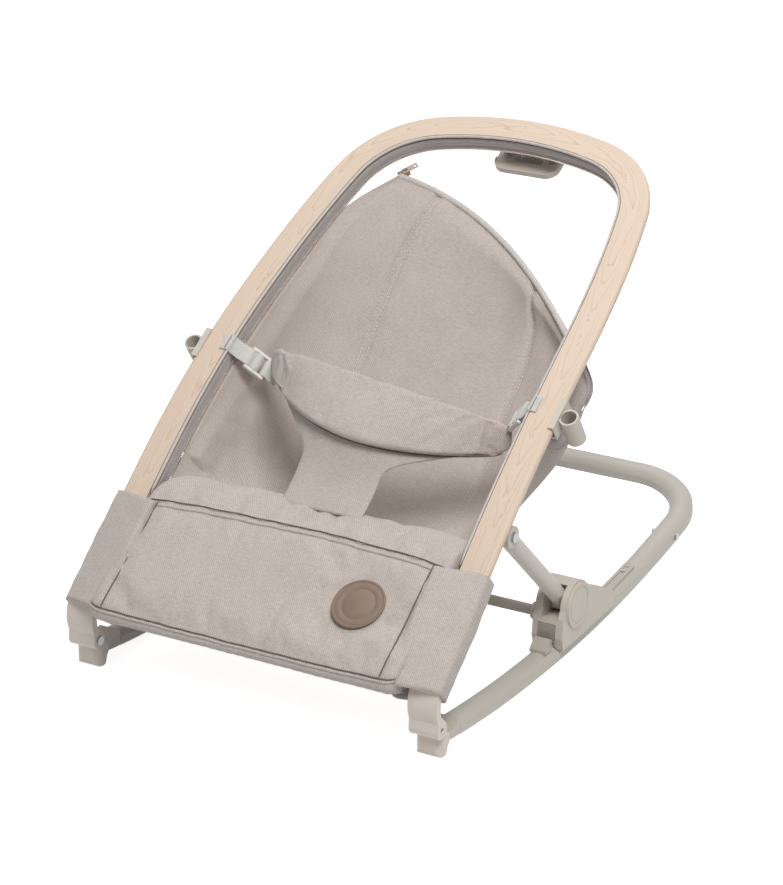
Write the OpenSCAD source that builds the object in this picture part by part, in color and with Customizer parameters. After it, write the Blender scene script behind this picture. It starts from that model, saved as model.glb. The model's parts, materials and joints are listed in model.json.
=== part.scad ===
// Bouncer seat: a fabric seat on a bent wooden hoop, over a rocking base that it folds down on to.
// Millimetres. +Y is towards the back, +Z is up, and the origin is on the floor under the middle.

/* [Rocking base] */
// Distance from the middle to the centre line of each rail
half_gauge = 194; // [185:1:200]
// Radius of the rocking arc
rock_r = 1600; // [1500:10:1700]
// Distance from the front feet to the lowest point of the rockers
rock_low_y = 200; // [195:1:205]
// Width of the D-shaped tube
rail_w = 25; // [24:0.5:26]
// Height of the tube's upright sides
rail_side_h = 8.5; // [7.5:0.5:9]
// Height of the tube's domed top
rail_dome_h = 7.5; // [7:0.5:8]
// Wall of the tube
rail_wall = 1.6; // [1.2:0.1:2]
// Where the rails end and the rear tube begins
splice_y = 519; // [510:1:530]
// Radius of the rear corners, on the tube's centre line
rear_corner_r = 78; // [70:1:90]
// Straight part of the rear tube before each corner
rear_straight = 10; // [6:1:20]
// Length of the necks that push into the rails
neck_l = 25; // [20:1:30]
// Radius of the splice bolts
splice_bolt_r = 2; // [1.5:0.1:2.4]

/* [Front corners] */
// Where the rails begin, behind the front feet
rail_start_y = 32; // [31:0.5:34]
// Height of the fold pivot above the floor
pivot_z = 30; // [30:0.5:31]
// Distance of the fold pivot in front of the frame's zero line
pivot_front = 7; // [6.5:0.5:7.5]
// Radius of the pivot pins
pin_r = 3; // [2.6:0.1:3.2]
// Radius of the round knuckle at the bottom of each elbow
knuckle_r = 9; // [8.8:0.1:9.2]
// Radius of the lug that each front plug puts inside the knuckle
lug_r = 6.5; // [6.3:0.1:6.8]
// Width of that lug
lug_w = 12; // [10:0.5:13]
// Width of the elbows
elbow_w = 31; // [30.5:0.5:32]
// Radius of the front of the elbows
elbow_r = 35; // [34:0.5:36]
// Thickness of the elbow's curved band
elbow_t = 8; // [7:0.5:9]
// Length of the elbow's fork over the wood
fork_l = 45; // [40:1:60]
// Thickness of the fork's two blades
fork_t = 2; // [1.6:0.1:2.4]
// Width of the feet
foot_w = 28; // [26:1:30]

/* [Hoop] */
// Width of the wooden band
band_w = 30; // [28:0.5:32]
// Thickness of the wooden band
band_t = 12; // [11:0.5:13]
// Radius of the inner edge at the middle of the top
top_r = 340; // [320:5:360]
// Half of the angle that the top arc spans
top_half_angle = 15.5; // [14:0.5:16]
// Radius of the inner edge at the top corners
corner_r = 88; // [84:1:92]
// Angle between the legs and straight at the corners
leg_splay = 11; // [10:0.5:12]
// Length of the straight part of each leg above the corners' bend
upper_leg_l = 187; // [180:1:195]
// Radius of the bend in the legs, seen from the side
leg_bend_r = 1150; // [1100:10:1200]
// Slope of the upper part
recline = 29.83; // [29:0.5:31]
// Slope of the legs at the front
leg_slope = 41; // [40:0.5:42]
// Length of the straight part of each leg at the front
lower_leg_l = 153; // [148:1:158]
// Front surface of the leg's lower end: distance behind the feet and height
leg_end = [-8, 76];

/* [Props and carriage] */
// Distance up the leg from its lower end to the prop's hinge
prop_up = 172.4; // [165:1:180]
// Depth of that hinge below the leg's front surface
prop_drop = 24.5; // [24:0.5:26]
// Distance of the carriage hinge behind the feet
hinge_y = 263; // [258:1:268]
// Height of the carriage hinge above the bottom of the rail
hinge_h = 51.3; // [50:0.5:53]
// Diameter of the prop tubes
prop_d = 18; // [16:0.5:18]
// Wall of the prop tubes
prop_wall = 1.5; // [1.2:0.1:1.8]
// Distance from the rail's centre line to the prop's
prop_out = 2; // [1.5:0.5:2.5]
// Radius of the head fitting round the upper hinge
prop_head_r = 11; // [10:0.5:11.5]
// Radius of the round top of the slide housings
housing_r = 25.5; // [24.5:0.5:26]
// Width of the track strip on each rail
strip_w = 12; // [10:0.5:13]
// Height of the track strip above the rail
strip_h = 2; // [1.5:0.1:2.4]
// Running clearance between the housings and the rails
slide_gap = 1.9; // [1.8:0.1:2.2]
// Diameter of the crossbar
crossbar_d = 11; // [10:0.5:12]
// Travel of the release buttons
button_travel = 3; // [2:0.5:3]

/* [Seat fittings] */
// Bore of the toy-bar sockets
socket_bore = 15.5; // [14.5:0.5:16]
// Wall of the toy-bar sockets
socket_wall = 2; // [1.8:0.1:2.4]
// Length of the toy-bar sockets
socket_l = 34; // [30:1:36]
// Distance up the leg from its lower end to the sockets
socket_up = 301; // [296:1:305]
// Half of the carry handle's width
handle_half_w = 38; // [34:1:42]
// Depth of the carry handle's grip below the hoop's front
handle_drop = 45; // [42:1:48]
// Depth of the lining band inside the hoop
lining_d = 20; // [16:1:21]
// Thickness of the lining band
lining_t = 1.5; // [1:0.1:2]
// Width of the webbing straps
web_w = 20; // [18:1:22]
// Thickness of the webbing
web_t = 1.6; // [1.4:0.1:2]
// Diameter of the round patch
patch_d = 56; // [50:1:60]

/* [Hidden] */

fine = 96;
soft_gap = 0.4;
run_gap = 0.05;

// Colours, as the pieces show them
pale_tube = [0.75, 0.73, 0.68];
pale_moulding = [0.72, 0.69, 0.64];
rosy_plastic = [0.83, 0.78, 0.73];
maple = [0.9, 0.81, 0.71];
greige = [0.79, 0.75, 0.72];
band_grey = [0.73, 0.69, 0.69];
web_grey = [0.8, 0.81, 0.78];
ivory = [0.89, 0.88, 0.85];
steel = [0.7, 0.7, 0.72];
tan_leather = [0.55, 0.47, 0.41];

// Rail
rail_h = rail_side_h + rail_dome_h;
dome_r = (pow(rail_w / 2, 2) + pow(rail_dome_h, 2)) / (2 * rail_dome_h);
splice_angle = asin((splice_y - rock_low_y) / rock_r);

// Side-view directions: along a slope, and square to it
function along(angle) = [cos(angle), sin(angle)];
function square_to(angle) = [-sin(angle), cos(angle)];
// A point of the side view at an angle round the rocking centre, at a height above the rail's bottom
function rock_point(angle, height) =
  [rock_low_y + (rock_r - height) * sin(angle), rock_r - (rock_r - height) * cos(angle)];
function rock_angle(y) = asin((y - rock_low_y) / rock_r);

// Fold pivot, and the frame of the leg's lower end
pivot = [-pivot_front, pivot_z];
lug_gap = 0.3;
elbow_x = half_gauge - elbow_w / 2;
elbow_centre = leg_end + 4 * along(leg_slope) - (elbow_r - fork_t) * square_to(leg_slope);

// Hoop: where each part of the leg begins, seen from the side, going up
bend_start = leg_end + lower_leg_l * along(leg_slope);
bend_end = bend_start
  + leg_bend_r * [sin(leg_slope) - sin(recline), cos(recline) - cos(leg_slope)];
bend_l = leg_bend_r * (leg_slope - recline) * PI / 180;
leg_l = lower_leg_l + bend_l + upper_leg_l;
corner_start = bend_end + upper_leg_l * along(recline);
// Half widths of the inner edge
top_half_w = top_r * sin(top_half_angle);
corner_half_w = top_half_w + corner_r * (cos(leg_splay) - sin(top_half_angle));
foot_half_w = half_gauge - band_w / 2;
flare = foot_half_w - corner_half_w;

// Slope of the leg at a distance up from its lower end, and the front surface's point there
function leg_angle(up) = up < lower_leg_l ? leg_slope
  : up < lower_leg_l + bend_l ? leg_slope - (up - lower_leg_l) / leg_bend_r * 180 / PI
  : recline;
function leg_point(up, drop = 0) =
  let (a = leg_angle(up))
  (up < lower_leg_l ? leg_end + up * along(leg_slope)
    : up < lower_leg_l + bend_l
      ? bend_start + leg_bend_r * [sin(leg_slope) - sin(a), cos(a) - cos(leg_slope)]
      : bend_end + (up - lower_leg_l - bend_l) * along(recline))
  - drop * square_to(a);
// Half width of the inner edge: the legs flare out towards the floor, ever more gently
function leg_half_w(up) = foot_half_w - flare * exp(-(leg_l - up) * tan(leg_splay) / flare);

// Points of the inner edge from the middle of the top down the right leg, each [x, slope up, angle]
top_steps = 4;
corner_steps = 14;
leg_steps = 26;
function top_edge(i) =
  let (a = top_half_angle * i / top_steps)
  [top_r * sin(a), top_r * (cos(a) - cos(top_half_angle)) + corner_rise];
corner_rise = corner_r * (cos(top_half_angle) - sin(leg_splay));
function corner_edge(i) =
  let (a = top_half_angle + (90 - leg_splay - top_half_angle) * i / corner_steps)
  [top_half_w + corner_r * (sin(a) - sin(top_half_angle)), corner_r * (cos(a) - sin(leg_splay))];
// The same points in space, with the surface's slope
function on_upper(p) =
  let (q = corner_start + p[1] * along(recline))
  [[p[0], q[0], q[1]], recline];
function on_leg(up) = [[leg_half_w(up), leg_point(up)[0], leg_point(up)[1]], leg_angle(up)];
right_edge = [
  for (i = [0:top_steps - 1]) on_upper(top_edge(i)),
  for (i = [0:corner_steps - 1]) on_upper(corner_edge(i)),
  for (i = [0:leg_steps]) on_leg(leg_l * (1 - i / leg_steps))
];
left_edge = [
  for (i = [len(right_edge) - 1:-1:1])
    [[-right_edge[i][0][0], right_edge[i][0][1], right_edge[i][0][2]], right_edge[i][1]]
];
hoop_edge = concat(left_edge, right_edge);

// Prop and carriage hinges
prop_x = half_gauge + prop_out;
prop_top = leg_point(prop_up, prop_drop);
hinge_angle = rock_angle(hinge_y) * rock_r / (rock_r - hinge_h);
hinge = rock_point(hinge_angle, hinge_h);
prop_l = norm(prop_top - hinge);
prop_angle = atan2(prop_top[1] - hinge[1], prop_top[0] - hinge[0]);
bolt_r = 3;

// Slide housing, across: inner face, prop bay, outer plate
housing_in = prop_x - prop_d / 2 - 9;
bay_in = prop_x - prop_d / 2 - 0.5;
bay_out = prop_x + prop_d / 2 + 0.5;
housing_out = half_gauge + rail_w / 2 + 5.5;
crossbar_at = hinge + [-11, -11.5];
button_at = hinge + [-29.2, -21];
button_w = 19;
button_h = 17;
button_t = 6;
stem_r = 2.5;
stem_l = 9;

// The origin lies under the middle of the whole length
rear_y = rock_point(splice_angle, 0)[0]
  + (rear_straight + rear_corner_r + rail_w / 2) * cos(splice_angle);
bolster_front = -35.5;
origin_y = (rear_y + bolster_front) / 2;

// ---- placing ----
module placed(side = 1) {
  translate([0, -origin_y, 0])
    mirror([side < 0 ? 1 : 0, 0, 0])
      children();
}

// Draws a side-view shape (y to the right, z up) from x0 to x1
module across(x0, x1) {
  translate([x0, 0, 0])
    rotate([90, 0, 90])
      linear_extrude(x1 - x0)
        children();
}

// A bar along X through a side-view point
module cross_rod(at, x0, x1, r) {
  translate([x0, at[0], at[1]])
    rotate([0, 90, 0])
      cylinder(r = r, h = x1 - x0, $fn = fine);
}

// Puts children in a frame at a side-view point: Y along the slope, Z square to it
module on_slope(at, angle) {
  translate([0, at[0], at[1]])
    rotate([angle, 0, 0])
      children();
}

module on_leg_frame(up, drop = 0) {
  on_slope(leg_point(up, drop), leg_angle(up)) children();
}

// ---- rail tube ----
// The tube's D section, across by up, made larger all round by grow
module rail_section(grow = 0) {
  translate([-rail_w / 2 - grow, -grow])
    square([rail_w + 2 * grow, rail_side_h + grow]);
  intersection() {
    translate([0, rail_h - dome_r])
      circle(r = dome_r + grow, $fn = 192);
    translate([-rail_w / 2 - grow, rail_side_h - 1])
      square([rail_w + 2 * grow, rail_dome_h + grow + 2]);
  }
}

// Sweeps a section (across by up) along the rocking arc of one rail
module rocker(y0, y1) {
  a0 = rock_angle(y0);
  translate([half_gauge, rock_low_y, rock_r])
    rotate([0, 90, 0])
      rotate([0, 0, a0])
        rotate_extrude(angle = rock_angle(y1) - a0, $fn = 720)
          translate([rock_r, 0])
            rotate(90)
              children();
}

module rail_tube(side) {
  color(pale_tube)
    placed(side)
      difference() {
        rocker(rail_start_y, splice_y) rail_section();
        rocker(rail_start_y - 1, splice_y + 1) rail_section(-rail_wall);
        splice_hole();
        strip_screw_hole();
      }
}

bolt_y = splice_y - neck_l / 2;
bolt_at = rock_point(rock_angle(bolt_y), rail_side_h * 0.65);

module splice_hole() {
  cross_rod(bolt_at, half_gauge - rail_w, half_gauge + rail_w, splice_bolt_r + run_gap);
}

// The rear tube: neck, straight, corner and half of the rear bar, on the right
module rear_half(grow) {
  translate([half_gauge, rear_straight, 0])
    rotate([90, 0, 0])
      linear_extrude(rear_straight)
        rail_section(grow);
  translate([half_gauge - rear_corner_r, rear_straight, 0])
    rotate_extrude(angle = 90, $fn = 180)
      translate([rear_corner_r, 0])
        rail_section(grow);
  translate([0, rear_straight + rear_corner_r, 0])
    rotate([90, 0, 90])
      linear_extrude(half_gauge - rear_corner_r)
        rail_section(grow);
}

module neck(grow) {
  translate([half_gauge, 0.5, 0])
    rotate([90, 0, 0])
      linear_extrude(neck_l)
        rail_section(grow);
}

module rear_u_tube() {
  neck_gap = 0.35;
  color(pale_tube)
    difference() {
      placed()
        on_slope(rock_point(splice_angle, 0), splice_angle)
          for (side = [0, 1])
            mirror([side, 0, 0])
              difference() {
                union() {
                  rear_half(0);
                  neck(-rail_wall - neck_gap);
                }
                rear_half(-2 * rail_wall - neck_gap);
                translate([0, -1, 0]) neck(-2 * rail_wall - neck_gap);
                translate([0, 1, 0]) neck(-2 * rail_wall - neck_gap);
              }
      for (side = [-1, 1])
        placed(side) splice_hole();
    }
}

module splice_bolts() {
  color(steel)
    for (side = [-1, 1])
      placed(side) {
        cross_rod(bolt_at, half_gauge - rail_w / 2 - 1.5, half_gauge + rail_w / 2 + 1, splice_bolt_r);
        cross_rod(bolt_at, half_gauge + rail_w / 2 + 0.02, half_gauge + rail_w / 2 + 2,
          2 * splice_bolt_r);
        cross_rod(bolt_at, half_gauge - rail_w / 2 - 2, half_gauge - rail_w / 2 - 0.02,
          1.8 * splice_bolt_r);
      }
}

// ---- front corners ----
plug_front = 9.2;
plug_low = rail_start_y - 22;

// Side view of the lug that reaches from the plug to the pivot
module lug_shape(grow = 0) {
  root = [plug_front + 4, 16.5];
  d = root - pivot;
  n = [-d[1], d[0]] / norm(d) * (lug_r + grow);
  translate(pivot) circle(r = lug_r + grow, $fn = fine);
  polygon([pivot + n, root + n * 0.75, root - n * 0.75, pivot - n]);
}

module front_plug(side) {
  color(pale_tube)
    placed(side)
      difference() {
        union() {
          across(half_gauge - rail_w / 2, half_gauge + rail_w / 2)
            polygon([
              [plug_front, 11.8], [25, plug_low - 0.2], [rail_start_y, plug_low - 0.4],
              [rail_start_y, plug_low + 15.4], [26, 22.6], [21, 20.8], [16, 20.1], [plug_front, 21]
            ]);
          across(half_gauge - lug_w / 2, half_gauge + lug_w / 2) lug_shape();
          rocker(rail_start_y - 0.5, rail_start_y + 26) rail_section(-rail_wall - 0.2);
        }
        cross_rod(pivot, half_gauge - lug_w, half_gauge + lug_w, pin_r + run_gap);
      }
}

// The lower front of each foot cradles the elbow's knuckle, so the seat can turn over it
module foot(side) {
  cradle_r = knuckle_r + lug_gap;
  back = plug_front - 0.2;
  front = -9;
  front_r = 9;
  steps = 8;
  // Plan with a square back against the plug and a rounded front
  middle = [foot_w / 2 - front_r, front + front_r];
  plan = concat(
    [[foot_w / 2, back], [-foot_w / 2, back]],
    [for (i = [0:steps]) [-middle[0], middle[1]] - front_r * along(90 * i / steps)],
    [for (i = [0:steps]) middle + front_r * along(270 + 90 * i / steps)]
  );
  color(rosy_plastic)
    placed(side)
      difference() {
        intersection() {
          union() {
            across(half_gauge - foot_w / 2, half_gauge + foot_w / 2)
              polygon([
                [front, 21.5], [-8.2, 6], [-7.2, 2.4], [-5.6, 0.6], [-3.4, 0],
                [2.4, 0], [4, 1.2], [5.2, 4], [7, 9.4], [back, 11], [back, 16]
              ]);
            across(half_gauge - foot_w / 2, half_gauge + foot_w / 2)
              polygon([
                [front, 16], [-1, 12], [back, 11.6], [back, 20.8], [6, 23], [1, 26], [front, 21.5]
              ]);
          }
          translate([half_gauge, 0, -1]) linear_extrude(40) polygon(plan);
        }
        cross_rod(pivot, elbow_x - 1, elbow_x + elbow_w + 1, cradle_r);
        across(half_gauge - lug_w / 2 - 0.2, half_gauge + lug_w / 2 + 0.2) lug_shape(0.3);
      }
}

module pivot_pins() {
  head_t = 1.6;
  color(steel)
    for (side = [-1, 1])
      placed(side) {
        cross_rod(pivot, elbow_x - head_t, elbow_x + elbow_w - 2, pin_r);
        cross_rod(pivot, elbow_x - head_t, elbow_x - 0.1, 1.6 * pin_r);
      }
}

// The elbow: knuckle, curved band and a fork over the end of the wooden leg
module elbow(side) {
  steps = 24;
  a0 = 90 + leg_slope;
  a1 = 204;
  inner_r = elbow_r - elbow_t;
  outer = [for (i = [0:steps]) let (a = a0 + (a1 - a0) * i / steps) elbow_centre + elbow_r * along(a)];
  inner = [for (i = [steps:-1:0]) let (a = a0 + (a1 - 4 - a0) * i / steps) elbow_centre + inner_r * along(a)];
  tail_out = pivot + knuckle_r * along(170);
  tail_in = pivot + knuckle_r * along(45);
  color(rosy_plastic)
    placed(side)
      difference() {
        union() {
          across(elbow_x, elbow_x + elbow_w)
            polygon(concat(outer, [tail_out, pivot, tail_in], inner));
          cross_rod(pivot, elbow_x, elbow_x + elbow_w, knuckle_r);
          on_leg_frame(0)
            translate([elbow_x, -9, -band_t - fork_t])
              cube([elbow_w, fork_l + 9, band_t + 2 * fork_t]);
        }
        on_leg_frame(0)
          translate([elbow_x - 1, -0.3, -band_t - 0.1])
            cube([elbow_w + 2, fork_l + 1.3, band_t + 0.2]);
        cross_rod(pivot, elbow_x - 1, elbow_x + elbow_w + 1, pin_r + run_gap);
        // Slot for the plug's lug, open to the back and down
        across(half_gauge - lug_w / 2 - lug_gap, half_gauge + lug_w / 2 + lug_gap)
          union() {
            translate(pivot) circle(r = lug_r + 0.5, $fn = fine);
            translate(pivot - [1.6, 20]) square([31.6, 27.6]);
          }
        elbow_screw_holes();
      }
}

elbow_screw_r = 1.75;
module elbow_screw_holes() {
  for (up = [14, 32])
    on_leg_frame(up, band_t + fork_t + 1)
      translate([half_gauge, 0, 0])
        cylinder(r = elbow_screw_r + run_gap, h = band_t + 2, $fn = fine);
}

module elbow_screws() {
  color(steel)
    for (side = [-1, 1], up = [14, 32])
      placed(side)
        on_leg_frame(up, band_t + fork_t + 1.6)
          translate([half_gauge, 0, 0]) {
            cylinder(r = 2 * elbow_screw_r, h = 1.5, $fn = fine);
            cylinder(r = elbow_screw_r, h = band_t, $fn = fine);
          }
}

// ---- track strips ----
strip_front = hinge_y - 50;
strip_rear = hinge_y + 158;
wedge_l = 20;
strip_screw_y = strip_rear - 14;

module strip_section(grow = 0) {
  translate([-strip_w / 2 - grow, rail_h - 1.2])
    square([strip_w + 2 * grow, 1.2 + strip_h + grow]);
}

module track_strip(side) {
  wedge = rock_point(rock_angle(strip_front + wedge_l / 2), rail_h + strip_h);
  color(pale_moulding)
    placed(side)
      difference() {
        union() {
          rocker(strip_front, strip_rear) strip_section();
          on_slope(wedge, rock_angle(strip_front + wedge_l / 2))
            across(half_gauge - strip_w / 2 - 3, half_gauge + strip_w / 2 + 3)
              polygon([
                [-wedge_l / 2, -strip_h - 1], [wedge_l / 2 - 7, -strip_h - 1], [wedge_l / 2 - 7, 8],
                [wedge_l / 2 - 9, 10], [-wedge_l / 2, 0.5]
              ]);
        }
        // Everything stays on top of the domed tube
        rocker(strip_front - 20, strip_rear + 20) rail_section(0.02);
        // Shallow channel along the strip behind the carriage
        rocker(hinge_y - 20, strip_rear - 5)
          translate([-2.5, rail_h + strip_h - 1]) square([5, 3]);
        strip_screw_hole();
      }
}

module strip_screw_hole() {
  a = rock_angle(strip_screw_y);
  on_slope(rock_point(a, rail_h - 5), a)
    translate([half_gauge, 0, 0])
      cylinder(r = 1.6 + run_gap, h = 12, $fn = fine);
}

module strip_screws() {
  a = rock_angle(strip_screw_y);
  color(steel)
    for (side = [-1, 1])
      placed(side)
        on_slope(rock_point(a, rail_h - 4), a)
          translate([half_gauge, 0, 0]) {
            cylinder(r = 1.6, h = 5, $fn = fine);
            translate([0, 0, 4 + strip_h - 1 + 0.02]) cylinder(r = 2.4, h = 1.2, $fn = fine);
          }
}

// ---- sweeping a section along the hoop ----
// The hoop's outward direction at point i, square to its path
function path_dir(i) =
  let (a = hoop_edge[max(0, i - 1)][0], b = hoop_edge[min(len(hoop_edge) - 1, i + 1)][0])
  (b - a) / norm(b - a);
function surface_dir(i) = [0, -sin(hoop_edge[i][1]), cos(hoop_edge[i][1])];
function outward_dir(i) =
  let (v = cross(surface_dir(i), path_dir(i)))
  v / norm(v);
function hoop_ring(i, section) =
  let (u = outward_dir(i), v = surface_dir(i))
  [for (p = section) hoop_edge[i][0] + p[0] * u + p[1] * v];

// A closed solid through rings of equally many points, an even number of them.
// Each end is closed by a strip between the ring's two halves.
module skin(rings) {
  n = len(rings[0]);
  m = len(rings);
  top = (m - 1) * n;
  points = [for (r = rings) each r];
  sides = [
    for (i = [0:m - 2], j = [0:n - 1])
      let (a = i * n + j, b = a + n, c = (i + 1) * n + (j + 1) % n, d = i * n + (j + 1) % n)
      each [[a, b, c], [a, c, d]]
  ];
  ends = [
    for (j = [0:n / 2 - 2])
      let (a = j, b = j + 1, c = n - 2 - j, d = n - 1 - j)
      each [
        [a, b, c], [a, c, d],
        [top + c, top + b, top + a], [top + d, top + c, top + a]
      ]
  ];
  polyhedron(points, concat(sides, ends), convexity = 10);
}

function arc2(centre, r, a0, a1, n) = [
  for (i = [0:n]) centre + r * along(a0 + (a1 - a0) * i / n)
];
// The wood's section, outward by up from the front surface: sharp inner edge, well rounded outer one
hoop_section = concat(
  [[0, 0]],
  arc2([band_w - 4, -4], 4, 90, 0, 3),
  arc2([band_w - 8, -band_t + 8], 8, 0, -90, 4),
  arc2([3, -band_t + 3], 3, -90, -180, 3)
);

module wooden_hoop() {
  color(maple)
    placed()
      difference() {
        skin([for (i = [0:len(hoop_edge) - 1]) hoop_ring(i, hoop_section)]);
        for (side = [0, 1])
          mirror([side, 0, 0])
            elbow_screw_holes();
      }
}

module hoop_lining() {
  // It runs from bolster to bolster, above the sleeves
  first = 7;
  last = len(hoop_edge) - 1 - first;
  top = -1;
  color(band_grey)
    placed()
      skin([
        for (i = [first:last])
          hoop_ring(i, [
            [-soft_gap, top], [-soft_gap, -lining_d],
            [-soft_gap - lining_t, -lining_d], [-soft_gap - lining_t, top]
          ])
      ]);
}

// ---- prop brackets ----
module prop_bracket(side) {
  ear_in = prop_x - prop_d / 2 - 7;
  ear_out = prop_x - prop_d / 2 - 0.4;
  back = prop_drop - band_t;
  color(pale_moulding)
    placed(side)
      difference() {
        union() {
          on_leg_frame(prop_up, band_t)
            translate([ear_in - 1.5, -20, -2.6])
              cube([ear_out - ear_in + 1.3, 40, 2.4]);
          cross_rod(prop_top, ear_in, ear_out, 8);
          on_leg_frame(prop_up, prop_drop)
            translate([ear_in + 0.3, -6.5, 0])
              cube([ear_out - ear_in - 0.6, 13, back - 0.4]);
        }
        cross_rod(prop_top, ear_in - 1, ear_out + 1, bolt_r + run_gap);
      }
}

module prop_screws() {
  color(steel)
    for (side = [-1, 1])
      placed(side) {
        cross_rod(prop_top, prop_x - prop_d / 2 - 6, prop_x + prop_d / 2 + 0.6, bolt_r);
        cross_rod(prop_top, prop_x + prop_d / 2 + 0.3, prop_x + prop_d / 2 + 2.2, 1.7 * bolt_r);
      }
}

// ---- toy-bar sockets ----
socket_floor = 3;
module toy_bar_socket(side) {
  clip_t = 3;
  clip_wall = 1.6;
  clip_l = 36;
  clip_gap = 0.9;
  lip = 4;
  inner_x = leg_half_w(socket_up);
  outer_x = inner_x + band_w;
  tube_r = socket_bore / 2 + socket_wall;
  tube_x = outer_x + clip_gap + tube_r - 0.2;
  color(pale_moulding)
    placed(side)
      difference() {
        union() {
          on_leg_frame(socket_up)
            translate([tube_x, 0, -1 - socket_l])
              cylinder(r = tube_r, h = socket_l, $fn = fine);
          on_leg_frame(socket_up)
            translate([outer_x - band_w * 0.45, -clip_l / 2, -band_t - 0.3 - clip_t])
              cube([band_w * 0.45 + clip_gap + clip_wall, clip_l, band_t + 0.6 + 2 * clip_t - 1]);
        }
        on_leg_frame(socket_up) {
          // Room for the wooden band, and an open front
          translate([outer_x - band_w, -clip_l, -band_t - 0.3])
            cube([band_w + clip_gap, 2 * clip_l, band_t + 0.6]);
          translate([outer_x - band_w, -clip_l, -1])
            cube([band_w - lip, 2 * clip_l, 10]);
          translate([tube_x, 0, -1 - socket_l + socket_floor])
            cylinder(r = socket_bore / 2, h = 2 * socket_l, $fn = fine);
        }
      }
}

// ---- carry handle ----
// Frame on the upper hoop: Y up the slope from the inner edge at the top, Z square to it
top_edge_at = corner_start
  + (corner_rise + top_r * (1 - cos(top_half_angle))) * along(recline);
handle_screw_x = 26;

module on_top() {
  placed()
    on_slope(top_edge_at, recline)
      children();
}

module carry_handle() {
  grip_t = 4;
  rim = 2;
  web_y = 16;
  color(pale_moulding)
    on_top()
      difference() {
        union() {
          // Grip plate with rounded lower corners, and a raised rim along its lower edge
          translate([0, 0, -handle_drop])
            linear_extrude(grip_t)
              grip_outline();
          translate([0, 0, -handle_drop])
            linear_extrude(grip_t + rim)
              difference() {
                grip_outline();
                translate([0, 2.5]) grip_outline();
                translate([-handle_half_w, web_y - 4]) square([2 * handle_half_w, 20]);
              }
          // Upright web and the pad under the wood
          translate([-handle_half_w + 4, web_y, -handle_drop])
            cube([2 * handle_half_w - 8, 4, handle_drop - band_t - 0.6]);
          translate([-handle_half_w + 4, 6, -band_t - 3.4])
            cube([2 * handle_half_w - 8, 16, 2.8]);
        }
        for (x = [-1, 1])
          translate([x * handle_screw_x, 11, -handle_drop - 1])
            cylinder(r = 1.75 + run_gap, h = grip_t + 2, $fn = fine);
        for (x = [-1, 1])
          translate([x * 12 - 3, web_y - 1, -handle_drop + grip_t])
            cube([6, 6, 7]);
      }
}

module grip_outline() {
  r = 14;
  translate([-handle_half_w, -10 + r]) square([2 * handle_half_w, 30 - r]);
  translate([-handle_half_w + r, -10]) square([2 * (handle_half_w - r), 30]);
  for (x = [-1, 1])
    translate([x * (handle_half_w - r), -10 + r]) circle(r = r, $fn = fine);
}

module handle_screws() {
  color(steel)
    for (x = [-1, 1])
      on_top()
        translate([x * handle_screw_x, 11, -handle_drop]) {
          translate([0, 0, 0.5]) cylinder(r = 1.75, h = 4.5, $fn = fine);
          translate([0, 0, 4.02]) cylinder(r = 3.2, h = 1.6, $fn = fine);
        }
}

// A flat spring clip with two prongs, on the grip in front of the web
module handle_clip() {
  color(steel)
    on_top()
      translate([0, 0, -handle_drop + 4.05]) {
        translate([-15, 5, 0]) cube([30, 7, 1]);
        for (x = [-1, 1])
          translate([x * 12 - 2, 11, 0]) cube([4, 11, 1]);
      }
}

// ---- soft parts ----
// Smooth curve through four neighbouring values
function blend4(a, b, c, d, t) =
  b + 0.5 * t * ((c - a) + t * ((2 * a - 5 * b + 4 * c - d) + t * (3 * (b - c) + d - a)));
// The value at position s (0 to 1) along a smooth curve through the list
function smooth_at(list, s) =
  let (n = len(list) - 1, q = min(s * n, n - 0.0001), i = floor(q))
  blend4(list[max(0, i - 1)], list[i], list[i + 1], list[min(n, i + 2)], q - i);

// A sheet of even thickness through a grid of points [row][column]
module sheet_solid(grid, thickness) {
  rows = len(grid);
  cols = len(grid[0]);
  function at(i, j) = grid[max(0, min(rows - 1, i))][max(0, min(cols - 1, j))];
  function face_dir(i, j) =
    let (v = cross(at(i + 1, j) - at(i - 1, j), at(i, j + 1) - at(i, j - 1)))
    v / norm(v);
  function layer(i, h) = [for (j = [0:cols - 1]) at(i, j) + h * face_dir(i, j)];
  skin([
    for (i = [0:rows - 1])
      concat(layer(i, thickness / 2), [for (j = [cols - 1:-1:0]) layer(i, -thickness / 2)[j]])
  ]);
}

shell_t = 3;
liner_t = 9;
rim_in = soft_gap + lining_t / 2;
rim_drop = lining_d + shell_t / 2 + soft_gap;
// Rows of the seat's hammock: left edge, lowest point, right edge, from the front to the top.
// The right edge is unzipped above the socket and hangs outside its leg.
function leg_rim(side, up) =
  let (p = leg_point(up, rim_drop))
  [side * (leg_half_w(up) - rim_in), p[0], p[1]];
shell_rows = [
  [leg_rim(-1, 185), [0, 168, 106], leg_rim(1, 185)],
  [leg_rim(-1, 235), [0, 200, 92], leg_rim(1, 235)],
  [leg_rim(-1, 300), [0, 250, 100], leg_rim(1, 285)],
  [leg_rim(-1, 380), [0, 312, 150], [184, 264, 224]],
  [leg_rim(-1, 460), [0, 378, 217], [188, 302, 240]],
  [leg_rim(-1, 530), [0, 440, 290], [182, 338, 256]],
  [[-128, 492, 386], [0, 478, 345], [152, 362, 284]]
];

// Where the rows start to turn slack
slack_from = 0.5;
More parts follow.
